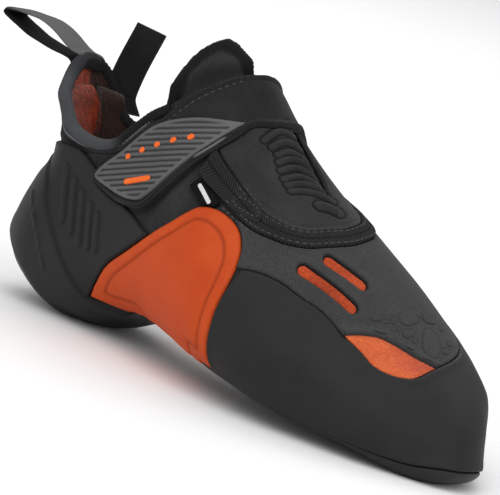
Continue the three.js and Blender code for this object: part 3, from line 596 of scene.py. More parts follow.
TOP_ONLY = above(22)
crescent_region = both(crescent_plan, vamp_plan, TOP_ONLY)
toe_patch_region = both(toe_patch_plan, TOP_ONLY)
strap_region = both(strap_zone, above(27))
tape_region = apart(both(tape_plan, above(41)), strap_region, arch_zone)
instep_region = apart(both(instep_plan, above(41), below_rim), tape_plan, strap_region, throat_plan)
slot_low_region = both(slot_low_plan, TOP_ONLY)
slot_high_region = both(slot_high_plan, TOP_ONLY)
vamp_region = apart(
    both(vamp_plan, TOP_ONLY), instep_plan, tape_plan, arch_zone, crescent_plan, slot_low_plan,
    slot_high_plan,
)
cup_region = apart(cup_zone, arch_zone, strap_region, sole_region)
rand_region = apart(
    lambda pts: pts[:, 0] - FOREFOOT * LENGTH - GAP, both(vamp_plan, TOP_ONLY), sole_region,
)
arch_region = apart(arch_zone, sole_region)
label_region = apart(both(label_zone, outer_half), strap_region, arch_zone, tape_plan)
tongue_region = apart(both(tongue_plan, above(37)), tongue_lid, gap=0)


# Meshes

def add_mesh(name, node, verts, faces, material, flow=None, tone=None, angle=50):
    """A piece from points in millimetres and lists of corners."""
    mesh = bpy.data.meshes.new(name)
    place = (np.asarray(verts) - [HEEL_REST * LENGTH, 0, 0]) * MM
    mesh.from_pydata(place.tolist(), [], [list(map(int, f)) for f in faces])
    mesh.validate()
    mesh.polygons.foreach_set("use_smooth", [True] * len(mesh.polygons))
    mesh.set_sharp_from_angle(angle=math.radians(angle))
    if flow is not None:
        layer = mesh.uv_layers.new(name="flow")
        corner = np.empty(len(mesh.loops), int)
        mesh.loops.foreach_get("vertex_index", corner)
        layer.data.foreach_set("uv", (np.asarray(flow)[corner]).ravel())
    if tone is not None:
        mesh.attributes.new("tone", "FLOAT", "POINT").data.foreach_set("value", np.asarray(tone, float))
    mesh.materials.append(material)
    piece = bpy.data.objects.new(name, mesh)
    bpy.context.scene.collection.objects.link(piece)
    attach(piece, "root")
    if node:
        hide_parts(node)
    return piece


def window_of(region, turned):
    """The stretch of the skin that holds a region."""
    p = np.linspace(0, 1, 161)
    q = np.linspace(-0.5, 0.5, 241) if turned else np.linspace(0, 1, 241)
    pts, _ = surface(p[:, None], q[None, :])
    near = region(pts.reshape(-1, 3)).reshape(161, 241) > -3
    rows = np.nonzero(near.any(1))[0]
    cols = np.nonzero(near.any(0))[0]
    return (p[max(rows[0] - 1, 0)], p[min(rows[-1] + 1, 160)],
            q[max(cols[0] - 1, 0)], q[min(cols[-1] + 1, 240)])


def sheet(region, step, turned=False):
    """A net of the skin inside a region, with its edge points moved onto the region's edge."""
    p0, p1, q0, q1 = window_of(region, turned)
    middle = min(max(0.5, p0), p1)
    rows = int((p1 - p0) * np.pi / 2 * LENGTH * math.sin(np.pi * middle) / step) + 2
    ring, _ = surface(np.full(200, middle if middle < 0.4 else max(p0, 0.3)), np.linspace(0, 1, 200))
    around = np.linalg.norm(np.diff(ring, axis=0), axis=1).sum()
    cols = int((q1 - q0) * around / step) + 2
    i, j = np.meshgrid(np.arange(rows, dtype=float), np.arange(cols, dtype=float), indexing="ij")

    def place(i, j):
        return surface(p0 + (p1 - p0) * i / (rows - 1), q0 + (q1 - q0) * j / (cols - 1))

    pts, normal = place(i, j)
    first = region(pts.reshape(-1, 3)).reshape(rows, cols)
    gi, gj = np.gradient(first)
    square = np.maximum(gi ** 2 + gj ** 2, 1e-9)
    snap = np.abs(first) < 0.55 * np.sqrt(square)
    dist = first.copy()
    for _ in range(2):
        i = np.where(snap, np.clip(i - dist * gi / square, 0, rows - 1), i)
        j = np.where(snap, np.clip(j - dist * gj / square, 0, cols - 1), j)
        moved, turned_normal = place(i[snap], j[snap])
        pts[snap] = moved
        normal[snap] = turned_normal
        dist[snap] = region(moved)
    good = (first > 0) | snap
    corner = np.arange(rows * cols).reshape(rows, cols)
    quads = np.stack([corner[:-1, :-1], corner[1:, :-1], corner[1:, 1:], corner[:-1, 1:]], -1)
    quads = quads.reshape(-1, 4)
    flags = good.ravel()[quads]
    mean = first.ravel()[quads].mean(1)
    fine = mean > -0.3 * step
    whole = quads[flags.all(1) & fine]
    part = quads[(flags.sum(1) == 3) & fine]
    lost = np.argmin(good.ravel()[part], axis=1)
    keep = (lost[:, None] + np.array([1, 2, 3])) % 4
    threes = np.take_along_axis(part, keep, axis=1)
    faces = [list(f) for f in whole] + [list(f) for f in threes]
    used = np.unique(np.concatenate([whole.ravel(), threes.ravel()]))
    renumber = np.full(rows * cols, -1)
    renumber[used] = np.arange(len(used))
    faces = [[int(renumber[k]) for k in f] for f in faces]
    arc = np.stack([pts[..., 0], j * (q1 - q0) * around / (cols - 1)], -1).reshape(-1, 2)
    return (pts.reshape(-1, 3)[used], normal.reshape(-1, 3)[used],
            np.maximum(dist.ravel()[used], 0), faces, arc[used] / 10)


def rim_edges(faces):
    """The edges that one face alone uses, in that face's direction."""
    once = {}
    for f in faces:
        for a, b in zip(f, f[1:] + f[:1]):
            if (b, a) in once:
                del once[(b, a)]
            else:
                once[(a, b)] = True
    return list(once)


def rounded(dist, edge):
    """How far the top drops near an edge, for a quarter round of that radius."""
    t = np.clip(1 - dist / edge, 0, 1)
    return edge * (1 - np.sqrt(np.maximum(0, 1 - t * t)))


def panel(name, node, region, top, bottom, material, step=0.75, edge=0.7, relief=None, tone=None,
          turned=False, closed=False, floor=True, inward=False):
    """A panel over the skin: a top with rounded edges and a wall down to its underside."""
    pts, normal, dist, faces, flow = sheet(region, step, turned)
    level = top(pts, normal) if callable(top) else np.full(len(pts), float(top))
    low = bottom(pts, normal) if callable(bottom) else np.full(len(pts), float(bottom))
    detail = -rounded(dist, edge)
    if relief is not None:
        detail = detail + relief(pts, normal, dist)
    height = level - detail if inward else level + detail
    upper_side = pts + normal * height[:, None]
    if inward:
        faces = [f[::-1] for f in faces]
    edges = rim_edges(faces)
    shade = np.zeros(len(pts)) if tone is None else tone(pts, dist, height)
    verts = [upper_side]
    flows = [flow]
    shades = [shade]
    count = len(pts)
    if closed:
        under = pts + normal * (low + rounded(dist, edge))[:, None]
        verts.append(under)
        flows.append(flow)
        shades.append(shade)
        back = [[k + count for k in reversed(f)] for f in faces]
        wall = [[a, a + count, b + count, b] for a, b in edges]
        faces = faces + back + wall
    else:
        ring = sorted({k for e in edges for k in e})
        renumber = {k: count + n for n, k in enumerate(ring)}
        verts.append(pts[ring] + normal[ring] * low[ring][:, None])
        flows.append(flow[ring])
        shades.append(shade[ring])
        wall = [[a, renumber[a], renumber[b], b] for a, b in edges]
        faces = faces + wall
    verts = np.vstack(verts)
    if floor:
        verts[:, 2] = np.maximum(verts[:, 2], 0)
    return add_mesh(name, node, verts, faces, material, np.vstack(flows), np.concatenate(shades))


# Lines on the skin

LATTICE_P = np.linspace(0.004, 0.996, 420)
LATTICE_Q = np.linspace(0.0, 1.0, 480, endpoint=False)
lattice, _ = surface(LATTICE_P[:, None], LATTICE_Q[None, :])
finder = KDTree(lattice.shape[0] * lattice.shape[1])
for number, spot in enumerate(lattice.reshape(-1, 3).tolist()):
    finder.insert(spot, number)
finder.balance()


def on_skin(points):
    """The nearest places of the skin, with their normals."""
    found = [finder.find(p)[1] for p in points.tolist()]
    p = LATTICE_P[np.array(found) // len(LATTICE_Q)]
    q = LATTICE_Q[np.array(found) % len(LATTICE_Q)]
    for _ in range(3):
        here, _ = surface(p, q)
        along_p = (surface(p + 0.001, q)[0] - here) / 0.001
        along_q = (surface(p, q + 0.001)[0] - here) / 0.001
        miss = points - here
        pp = (along_p ** 2).sum(1)
        qq = (along_q ** 2).sum(1)
        pq = (along_p * along_q).sum(1)
        a = (miss * along_p).sum(1)
        b = (miss * along_q).sum(1)
        det = np.maximum(pp * qq - pq * pq, 1e-9)
        p = np.clip(p + np.clip((a * qq - b * pq) / det, -0.01, 0.01), 0.003, 0.997)
        q = q + np.clip((b * pp - a * pq) / det, -0.01, 0.01)
    return surface(p, q)


def evenly(line, step):
    """The same line with points at even steps."""
    length = np.concatenate([[0], np.cumsum(np.linalg.norm(np.diff(line, axis=0), axis=1))])
    even = np.linspace(0, length[-1], max(int(length[-1] / step), 2) + 1)
    return np.stack([np.interp(even, length, line[:, k]) for k in range(3)], 1)


def skin_line(points, step=0.8):
    """A smooth line laid on the skin through the given points, with its normals."""
    return on_skin(evenly(spline(points), step))


class Track:
    """A line on the skin: how far points are from it, and how far along it they lie."""

    REACH = 4.0

    def __init__(self, points, steps=5):
        self.line = spline(points, steps=steps)
        self.run = np.diff(self.line, axis=0)
        self.square = np.maximum((self.run ** 2).sum(1), 1e-9)
        self.start = np.concatenate([[0], np.cumsum(np.sqrt(self.square))])

    def __call__(self, pts):
        best = np.full(len(pts), 1e6)
        place = np.zeros(len(pts))
        low = self.line.min(0) - self.REACH
        high = self.line.max(0) + self.REACH
        near = np.nonzero(((pts > low) & (pts < high)).all(1))[0]
        some = pts[near]
        for k in range(len(self.run)):
            d = some - self.line[k]
            t = np.clip((d @ self.run[k]) / self.square[k], 0, 1)
            gap = ((d - t[:, None] * self.run[k]) ** 2).sum(1)
            closer = gap < best[near]
            best[near[closer]] = gap[closer]
            place[near[closer]] = self.start[k] + t[closer] * math.sqrt(self.square[k])
        return np.sqrt(best), place


def ridge(pts, track, width, height, taper=2.0):
    """A soft ridge, or a trough when its height is negative, that fades at the line's ends."""
    far, place = track(pts)
    length = track.start[-1]
    fade = smoothstep(np.minimum(place, length - place), -0.2, taper) if taper else 1.0
    return height * np.exp(-(far / width) ** 2) * fade


# Materials

def make_material(name, color, roughness, second=None, tone=None, grain=0.35, grain_size=900, bump=0.15,
                  sheen=0.0, specular=0.15, stretch=(1, 1, 1), weave=0.0, depth=0.0004,
                  spread=0.25):
    """One colour with slow mottling and fine grain; tone is the colour of the painted parts, which is painted
    shade on some pieces and their own darker colour on others.
    """
    mat = bpy.data.materials.new(name)
    mat.use_nodes = True
    nodes = mat.node_tree.nodes
    links = mat.node_tree.links
    shader = nodes["Principled BSDF"]
    shader.inputs["Specular IOR Level"].default_value = specular
    shader.inputs["Sheen Weight"].default_value = sheen
    shader.inputs["Sheen Roughness"].default_value = 0.6
    coords = nodes.new("ShaderNodeTexCoord")
    mapping = nodes.new("ShaderNodeMapping")
    mapping.inputs["Scale"].default_value = stretch
    links.new(coords.outputs["Object"], mapping.inputs["Vector"])
    slow = nodes.new("ShaderNodeTexNoise")
    slow.inputs["Scale"].default_value = 60
    slow.inputs["Detail"].default_value = 5
    links.new(coords.outputs["Object"], slow.inputs["Vector"])
    fine = nodes.new("ShaderNodeTexNoise")
    fine.inputs["Scale"].default_value = grain_size
    fine.inputs["Detail"].default_value = 4
    links.new(mapping.outputs["Vector"], fine.inputs["Vector"])
    total = nodes.new("ShaderNodeMath")
    total.operation = "MULTIPLY_ADD"
    total.inputs[1].default_value = grain
    links.new(fine.outputs["Fac"], total.inputs[0])
    links.new(slow.outputs["Fac"], total.inputs[2])
    share = nodes.new("ShaderNodeMath")
    share.operation = "MULTIPLY"
    share.inputs[1].default_value = 1 / (1 + grain)
    links.new(total.outputs["Value"], share.inputs[0])
    ramp = nodes.new("ShaderNodeValToRGB")
    ramp.color_ramp.elements[0].position = 0.5 - spread / (1 + grain)
    ramp.color_ramp.elements[1].position = 0.5 + spread / (1 + grain)
    ramp.color_ramp.elements[0].color = (*color, 1)
    lighter = second or tuple(c * 1.6 + 0.002 for c in color)
    ramp.color_ramp.elements[1].color = (*lighter, 1)
    links.new(share.outputs["Value"], ramp.inputs["Fac"])
    base = ramp.outputs["Color"]
    if tone is not None:
        paint = nodes.new("ShaderNodeAttribute")
        paint.attribute_name = "tone"
        mix = nodes.new("ShaderNodeMix")
        mix.data_type = "RGBA"
        links.new(paint.outputs["Fac"], mix.inputs[0])
        links.new(base, mix.inputs[6])
        mix.inputs[7].default_value = (*tone, 1)
        base = mix.outputs[2]
    links.new(base, shader.inputs["Base Color"])
    gloss = nodes.new("ShaderNodeMapRange")
    gloss.inputs["To Min"].default_value = roughness - 0.06
    gloss.inputs["To Max"].default_value = min(roughness + 0.08, 1.0)
    links.new(slow.outputs["Fac"], gloss.inputs["Value"])
    links.new(gloss.outputs["Result"], shader.inputs["Roughness"])
    node = nodes.new("ShaderNodeBump")
    node.inputs["Strength"].default_value = bump
    node.inputs["Distance"].default_value = depth
    links.new(fine.outputs["Fac"], node.inputs["Height"])
    normal = node.outputs["Normal"]
    if weave:
        flow = nodes.new("ShaderNodeUVMap")
        flow.uv_map = "flow"
        for direction in ("X", "Y"):
            thread = nodes.new("ShaderNodeTexWave")
            thread.bands_direction = direction
            thread.inputs["Scale"].default_value = weave
            thread.inputs["Distortion"].default_value = 0.6
            links.new(flow.outputs["UV"], thread.inputs["Vector"])
            second_bump = nodes.new("ShaderNodeBump")
            second_bump.inputs["Strength"].default_value = 0.5
            second_bump.inputs["Distance"].default_value = 0.0002
            links.new(thread.outputs["Fac"], second_bump.inputs["Height"])
            links.new(normal, second_bump.inputs["Normal"])
            normal = second_bump.outputs["Normal"]
    links.new(normal, shader.inputs["Normal"])
    return mat


BLACK = (0.004, 0.004, 0.004)
rubber = make_material("rubber", (0.0115, 0.0115, 0.012), 0.62, second=(0.0175, 0.0175, 0.018), tone=BLACK,
                       specular=0.22, grain_size=1500, bump=0.1)
cup_rubber = make_material("cup_rubber", (0.011, 0.011, 0.0115), 0.6, second=(0.017, 0.017, 0.0175),
                           tone=BLACK,
                           specular=0.22, grain_size=1300, bump=0.1)
sole_rubber = make_material("sole_rubber", (0.011, 0.011, 0.012), 0.5, specular=0.25, bump=0.2)
orange_rubber = make_material("orange_rubber", (0.47, 0.050, 0.005), 0.6, second=(0.56, 0.072, 0.008),
                              tone=(0.2, 0.02, 0.003), specular=0.2, grain_size=1200, bump=0.12)
vent_mesh = make_material("vent_mesh", (0.30, 0.03, 0.004), 0.9, second=(0.62, 0.08, 0.012),
                          sheen=0.1, weave=8.0, bump=0.5, grain=0.8, specular=0.1)
orange_mesh = make_material("orange_mesh", (0.55, 0.062, 0.008), 0.9, second=(0.80, 0.15, 0.024),
                            sheen=0.2, weave=8.0, bump=0.5, grain=0.8, specular=0.1)
suede = make_material("suede", (0.009, 0.009, 0.0095), 0.95, second=(0.024, 0.024, 0.025), tone=BLACK,
                      sheen=0.06, specular=0.08, bump=0.5, grain=0.6, grain_size=1600)
instep_suede = make_material("instep_suede", (0.018, 0.018, 0.019), 0.95, second=(0.037, 0.037, 0.039),
                             tone=BLACK, sheen=0.06, specular=0.08, bump=0.5, grain=0.6, grain_size=1600)
# The lighter streaks along the stretched grain are painted highlights, laid over the leather's own grain and
# mottling.
vamp_leather = make_material("vamp_leather", (0.022, 0.022, 0.0225), 0.85, second=(0.058, 0.058, 0.0595),
                             tone=BLACK, grain=2.2, grain_size=2000, bump=0.3, specular=0.12,
                             stretch=(0.1, 1, 1), sheen=0.04, spread=0.8)
upper_leather = make_material("upper_leather", (0.014, 0.014, 0.0145), 0.85, second=(0.034, 0.034, 0.035),
                              tone=BLACK, specular=0.12, bump=0.3, grain=0.6)
lining = make_material("lining", (0.07, 0.009, 0.003), 0.95, second=(0.27, 0.035, 0.010),
                       tone=(0.02, 0.006, 0.004),
                       sheen=0.15, grain=1.0, grain_size=700, bump=0.8, specular=0.08, depth=0.0008)
binding_cloth = make_material("binding_cloth", (0.055, 0.057, 0.061), 0.9, second=(0.085, 0.088, 0.094),
                              tone=(0.014, 0.014, 0.015), weave=9.0, specular=0.1)
webbing = make_material("webbing", (0.105, 0.105, 0.108), 0.85, second=(0.14, 0.14, 0.144),
                        tone=(0.012, 0.012, 0.012), weave=11.0, specular=0.12)
black_webbing = make_material("black_webbing", (0.010, 0.010, 0.010), 0.85, second=(0.022, 0.022, 0.022),
                              weave=11.0, specular=0.12)
rib_grey = make_material("rib_grey", (0.085, 0.085, 0.088), 0.6, second=(0.12, 0.12, 0.124),
                         tone=(0.012, 0.012, 0.013), specular=0.2, bump=0.05)
label_cloth = make_material("label_cloth", (0.004, 0.004, 0.0045), 0.8, weave=12.0, specular=0.1)
label_white = make_material("label_white", (0.75, 0.75, 0.75), 0.8, second=(0.85, 0.85, 0.85), weave=12.0)
tape_cloth = make_material("tape_cloth", (0.022, 0.022, 0.023), 0.9, second=(0.036, 0.036, 0.038),
                           tone=BLACK, specular=0.1)
tongue_cloth = make_material("tongue_cloth", (0.019, 0.019, 0.02), 0.95, second=(0.036, 0.036, 0.038),
                             tone=(0.010, 0.010, 0.0105), sheen=0.05, weave=10.0, specular=0.08, bump=0.5)
thread = make_material("thread", (0.05, 0.05, 0.052), 0.8, second=(0.075, 0.075, 0.078), specular=0.15)
dark_thread = make_material("dark_thread", (0.006, 0.006, 0.006), 0.8, specular=0.15)
piping_cloth = make_material("piping_cloth", (0.085, 0.087, 0.092), 0.85, second=(0.13, 0.133, 0.14))
orange_film = make_material("orange_film", (0.8, 0.12, 0.012), 0.5, second=(0.88, 0.16, 0.02), specular=0.25)


# Pieces

def down_of(normal):
    """How far the skin faces the floor, 0 to 1."""
    return smoothstep(-normal[:, 2], 0.35, 0.9)


def sunk(side, under):
    """Depth of an inner layer: one value at the sides and top, another underneath."""
    return lambda pts, normal: side + (under - side) * down_of(normal)


def free_of_panels(pts):
    """How far the upper shows between the panels, 0 to 1."""
    cover = np.maximum.reduce([
        strap_region(pts), cup_region(pts), arch_zone(pts), tape_region(pts), instep_region(pts),
        both(vamp_plan, TOP_ONLY)(pts), rand_region(pts), sole_region(pts), toe_patch_region(pts),
        label_region(pts),
    ])
    return smoothstep(-cover, 0.3, 3.0)


def upper_top(pts, normal):
    """The upper lies deep under the panels and comes up between them."""
    deep = sunk(UPPER_LEVEL, -SOLE - GAP)(pts, normal)
    return deep + 0.9 * free_of_panels(pts) * (1 - down_of(normal))


collar_seams = [Track(line) for line in COLLAR_SEAMS]


def upper_relief(pts, normal, dist):
    return sum(ridge(pts, seam, 0.35, -0.4) + ridge(pts, seam, 1.4, 0.35) for seam in collar_seams)


def seam_tone(tracks, width=0.35):
    """Darkness in the seams."""
    return lambda pts, dist, height: np.clip(sum(ridge(pts, t, width, 1.0) for t in tracks), 0, 1)


upper_region = apart(below_rim, throat_plan, gap=1.5)
panel("upper_shell", "upper", upper_region, upper_top, sunk(LINING_LEVEL, -SOLE - GAP - WALL), upper_leather,
      step=1.1, floor=False, relief=upper_relief, tone=seam_tone(collar_seams))

lining_seams = [Track(line) for line in LINING_SEAMS]


def lining_relief(pts, normal, dist):
    return sum(ridge(pts, seam, 0.5, 0.5) for seam in lining_seams)


def lining_tone(pts, dist, height):
    """The lining is dark along its seams and carries painted shade high up inside the far wall at the back.
    """
    seams = seam_tone(lining_seams, 0.6)(pts, dist, height)
    far_wall_shade = smoothstep(pts[:, 1], -2, 1) * smoothstep(46 - pts[:, 0], 0, 6) * smoothstep(pts[:, 2], 48, 54)
    return np.maximum(seams, far_wall_shade)


lining_region = apart(both(below_rim, above(4)), throat_plan, gap=6)
panel("lining", None, lining_region, sunk(LINING_LEVEL + 0.02, INSOLE_TOP + 0.3),
      sunk(UPPER_LEVEL - 0.3, -SOLE), lining, step=1.3, edge=0.1, floor=False,
      relief=lining_relief, tone=lining_tone, inward=True)


def insole_region(pts):
    """Under the foot, a little inside the sides of the last."""
    share = np.clip(pts[:, 0] / LENGTH, 0, 1)
    heel = np.maximum(0, 1 - share / HEEL_ROUND)
    toe = np.maximum(0, 1 - (1 - share) / TOE_ROUND)
    narrow = np.sqrt(np.maximum(0, 1 - heel ** 2)) * np.sqrt(np.maximum(0, 1 - toe ** TOE_PLAN_POWER))
    y = pts[:, 1] - monotone(SECTIONS, 9, share) * BALL_WIDTH
    wide = np.where(y < 0, monotone(SECTIONS, 1, share), monotone(SECTIONS, 2, share)) * BALL_WIDTH
    low = monotone(SECTIONS, 3, share) * ARCH_RISE
    height = monotone(SECTIONS, 4, share) * INSTEP_HEIGHT - low
    return np.minimum.reduce([
        wide * narrow * 0.80 - np.abs(y), 0.90 * LENGTH - pts[:, 0], pts[:, 0] - 0.05 * LENGTH,
        low + 0.2 * height - pts[:, 2],
    ])


panel("insole_board", "insole", insole_region, sunk(OVERLAY - 6, INSOLE_TOP), sunk(-4, -6.6), lining,
      step=1.5, edge=0.1, turned=True, floor=False, inward=True)
panel("outsole_rubber", "outsole", sole_region, 0, -SOLE, sole_rubber, turned=True, edge=0.6)

cup_ridges = [Track(skin_line(line, 3.0)[0], steps=1) for line in CUP_RIDGES]
strip_dashes = [Track(skin_line(line, 2.0)[0], steps=1) for line in STRIP_DASHES]


def cup_relief(pts, normal, dist):
    raised = RAISED * smoothstep(strip_zone(pts), -0.2, 1.0)
    bars = sum(flat_bar(pts, track, 1.4, 0.8) for track in cup_ridges)
    dashes = sum(flat_bar(pts, track, 0.9, 0.5) for track in strip_dashes)
    return raised + bars + dashes


def flat_bar(pts, track, half, height):
    """A bar with a flat top and soft sides, raised or sunk."""
    far, _ = track(pts)
    return height * smoothstep(half - far, -0.35, 0.35)


def cup_ridge_shade(pts, dist, height):
    # Painted shade along the step at the raised strip's edge and round the foot of each ridge.
    edge = 1 - smoothstep(np.abs(strip_zone(pts) - 0.2), 0.0, 0.8)
    rims = [1 - smoothstep(np.abs(track(pts)[0] - 1.6), 0.0, 0.5) for track in cup_ridges]
    return 0.7 * np.maximum.reduce([edge] + rims)


panel("heel_cup_rubber", "heel_cup", cup_region, 0, -OVERLAY, cup_rubber, relief=cup_relief, tone=cup_ridge_shade,
      step=0.6)

rand_creases = [Track(line) for line in RAND_CREASES]


def rand_relief(pts, normal, dist):
    lip = -0.35 * smoothstep(dist, 0.5, 4)
    return lip + sum(ridge(pts, crease, 3.0, -0.5, 8) for crease in rand_creases)


panel("rand_rubber", "rand", rand_region, 0.25, -OVERLAY, rubber, relief=rand_relief, edge=0.9)


def arch_groove(dist):
    """A groove that follows the panel's edge, 0 to 1."""
    return np.exp(-((dist - ARCH_INSET) / 0.55) ** 2)


def arch_relief(pts, normal, dist):
    return 0.9 * smoothstep(dist, 0, 14) - 0.6 * arch_groove(dist)


def arch_groove_shade(pts, dist, height):
    # Painted shade in the groove along the panel's edge.
    return 0.6 * arch_groove(dist)


panel("arch_rubber_outer", "arch_panel_outer", both(arch_region, outer_half), 0, -OVERLAY, orange_rubber,
      relief=arch_relief, tone=arch_groove_shade, edge=1.2)
panel("arch_rubber_inner", "arch_panel_inner", both(arch_region, inner_half), 0, -OVERLAY, orange_rubber,
      relief=lambda pts, normal, dist: 0.9 * smoothstep(dist, 0, 14), edge=1.2)


# Vamp, toe and their openings

def vamp_relief(pts, normal, dist):
    """Soft swell around the two openings and the toe."""
    low = slot_low_plan(pts)
    high = slot_high_plan(pts)
    lips = [0.35 * np.exp(-((gap + 1.6) / 1.4) ** 2) for gap in (low, high)]
    return lips[0] + lips[1] + 0.5 * smoothstep(-crescent_plan(pts), 0, 1) * np.exp(
        -((crescent_plan(pts) + 1.5) / 2.0) ** 2)


def slot_rim_shade(pts, dist, height):
    # Painted shade on the leather's edge where it drops into the two openings.
    near = np.minimum(np.abs(slot_low_plan(pts)), np.abs(slot_high_plan(pts)))
    return 0.85 * (1 - smoothstep(near, 0.3, 1.0))


panel("vamp_leather", "vamp", vamp_region, 0, -OVERLAY, vamp_leather, relief=vamp_relief, tone=slot_rim_shade,
      edge=0.5, step=0.6)


def pebble_gap(pts):
    """Signed distance to the nearest pebble outline seen from above, positive inside."""
    best = np.full(len(pts), -9.0)
    for x, y, long_half, short_half, angle in PEBBLES:
        turn = math.radians(angle)
        dx = pts[:, 0] - x * LENGTH
        dy = pts[:, 1] - y * BALL_WIDTH
        u = (dx * math.cos(turn) + dy * math.sin(turn)) / long_half
        v = (-dx * math.sin(turn) + dy * math.cos(turn)) / short_half
        reach = (np.abs(u) ** 2.4 + np.abs(v) ** 2.4) ** (1 / 2.4)
        best = np.maximum(best, (1 - reach) * short_half)
    return best


def patch_relief(pts, normal, dist):
    gap = pebble_gap(pts)
    lip = 0.75 * np.exp(-((crescent_plan(pts) + 0.9) / 1.1) ** 2)
    return 0.3 * smoothstep(gap, 0, 0.7) - 0.3 * np.exp(-(gap / 0.22) ** 2) + lip


def pebble_gap_shade(pts, dist, height):
    # Painted shade in the gaps between the pebbles.
    return 0.9 * np.exp(-(pebble_gap(pts) / 0.24) ** 2)


panel("toe_patch_leather", "toe_patch", toe_patch_region, 0.12, -OVERLAY, vamp_leather, step=0.3,
      relief=patch_relief, tone=pebble_gap_shade, edge=0.12)


def fleece(pts, normal, dist):
    return 0.12 * np.sin(pts[:, 0] * 5.1 + 2 * np.sin(pts[:, 1] * 2.3)) * np.sin(pts[:, 1] * 5.7)


panel("crescent_mesh", "toe_crescent", crescent_region, -OVERLAY / 2, -OVERLAY, orange_mesh,
      step=0.35, edge=0.1, relief=fleece)
panel("vent_mesh_low", "vent_low", slot_low_region, -OVERLAY / 2, -OVERLAY, vent_mesh,
      step=0.35, edge=0.1, relief=fleece)
panel("vent_mesh_high", "vent_high", slot_high_region, -OVERLAY / 2, -OVERLAY, vent_mesh,
      step=0.35, edge=0.1, relief=fleece)


# Instep panel with its gathered folds

def fold_lines():
    """The folds beside the slit, spread evenly between the measured ones."""
    measured = np.array(FOLDS)
    at = np.linspace(0, len(measured) - 1, FOLD_COUNT)
    lines = []
    for value in at:
        i = min(int(value), len(measured) - 2)
        t = value - i
        lines.append(measured[i] * (1 - t) + measured[i + 1] * t)
    return lines


folds = [Track(on_skin(line)[0]) for line in fold_lines()]
fold_heights = 0.9 + 0.35 * np.sin(np.arange(FOLD_COUNT) * 2.3)
oval = Track(on_skin(np.array(OVAL_FOLD))[0])


def instep_relief(pts, normal, dist):
    rise = np.maximum.reduce([
        ridge(pts, fold, 0.85, 1.15 * height, 3.5) for fold, height in zip(folds, fold_heights)
    ])
    last = ridge(pts, oval, 1.7, 1.3, 1.0)
    near = np.minimum.reduce([fold(pts)[0] for fold in folds])
    sink = -0.5 * np.exp(-((near - 1.7) / 0.55) ** 2)
    around_oval = -0.6 * np.exp(-((oval(pts)[0] - 2.9) / 0.7) ** 2)
    hem = -0.25 * np.exp(-((dist - 1.9) / 0.35) ** 2)
    return rise + last + sink + around_oval + hem


def instep_fold_shade(pts, dist, height):
    # Painted shade in the creases between the folds and in the hollow round the oval fold.
    near = np.minimum.reduce([fold(pts)[0] for fold in folds])
    between = 0.95 * np.exp(-((near - 1.65) / 0.45) ** 2)
    around_oval = 0.9 * np.exp(-((oval(pts)[0] - 2.7) / 0.5) ** 2)
    return np.clip(between + around_oval, 0, 1)


panel("instep_suede", "instep_panel", instep_region, 0, -OVERLAY, instep_suede, relief=instep_relief,
      tone=instep_fold_shade, step=0.4, edge=0.6)

tape_track = Track(np.column_stack([tape_curve, np.zeros(len(tape_curve))]), steps=1)


def tape_place(pts):
    """Distance from the tape's middle line and place along it, seen from above."""
    flat = pts.copy()
    flat[:, 2] = 0
    return tape_track(flat)


def tape_relief(pts, normal, dist):
    far, place = tape_place(pts)
    wave = np.sin(2 * np.pi * (place + far) / 1.15)
    return 0.14 * wave * smoothstep(dist, 0.4, 0.9)


def tape_shade_and_stripe(pts, dist, height):
    # Painted shade in the troughs of the ribbing; the dark line down the middle is part of the tape's own
    # colour.
    far, place = tape_place(pts)
    wave = np.sin(2 * np.pi * (place + far) / 1.15)
    middle = 0.6 * np.exp(-(far / 0.25) ** 2)
    return np.clip(0.8 * smoothstep(-wave, -0.2, 0.8) + middle, 0, 1)


panel("seam_tape_cloth", "seam_tape", tape_region, RAISED, -OVERLAY, tape_cloth, step=0.28,
      relief=tape_relief, tone=tape_shade_and_stripe)


# Strap and its ribbed patch

def strap_relief(pts, normal, dist):
    roll = 0.7 * np.exp(-((dist - 1.0) / 0.9) ** 2)
    hem = -0.35 * np.exp(-((dist - 2.4) / 0.35) ** 2)
    wave = 0.25 * np.sin(pts[:, 0] * 0.23 + pts[:, 2] * 0.11) * smoothstep(dist, 2, 8)
    return roll + hem + wave


panel("strap_suede", "strap", strap_region, STRAP_RISE, -OVERLAY, suede, relief=strap_relief, edge=0.9,
      step=0.6)

def rib_wave(pts):
    """Straight ribs that climb towards the front."""
    across = (pts[:, 2] - RIB_SLOPE * pts[:, 0]) / math.hypot(1, RIB_SLOPE)
    return np.cos(2 * np.pi * across / RIB_PITCH)


def rib_relief(pts, normal, dist):
    inner = smoothstep(dist, 1.1, 1.5)
    return inner * (-0.28 + 0.3 * smoothstep(rib_wave(pts), -0.5, 0.5)) + 0.15 * (1 - inner)


def rib_groove_shade(pts, dist, height):
    # Painted shade in the grooves between the ribs, inside the patch's plain border.
    return smoothstep(dist, 1.1, 1.4) * 0.9 * smoothstep(-rib_wave(pts), -0.1, 0.7)


panel("strap_ribs", "strap_patch", both(patch_zone, outer_half), STRAP_RISE + 1.0, STRAP_RISE - 0.2,
      rib_grey, step=0.35, relief=rib_relief, tone=rib_groove_shade, edge=0.35)


def patch_marks():
    """A plain rounded bar and dots on the ribbed patch."""
    ticks = [capsule(*side_view(line), MARK_WIDTH) for line in PATCH_TICKS]
    for number, line in enumerate(ticks):
        zone = Outline(line, [0, 2])
        panel(f"strap_tick_{number}", None, both(zone, outer_half), STRAP_RISE + 1.45, STRAP_RISE + 0.6,
              orange_film, step=0.35, edge=0.3)


patch_marks()
panel("label_cloth", "label_flag", label_region, 0.15, -OVERLAY, label_cloth, step=0.5, edge=0.3)
label_bar_zone = Outline(capsule(*side_view(LABEL_BAR), 1.3), [0, 2])
panel("label_bar", None, both(label_bar_zone, outer_half), 0.3, -0.3, label_white, step=0.3, edge=0.1)


# Tongue

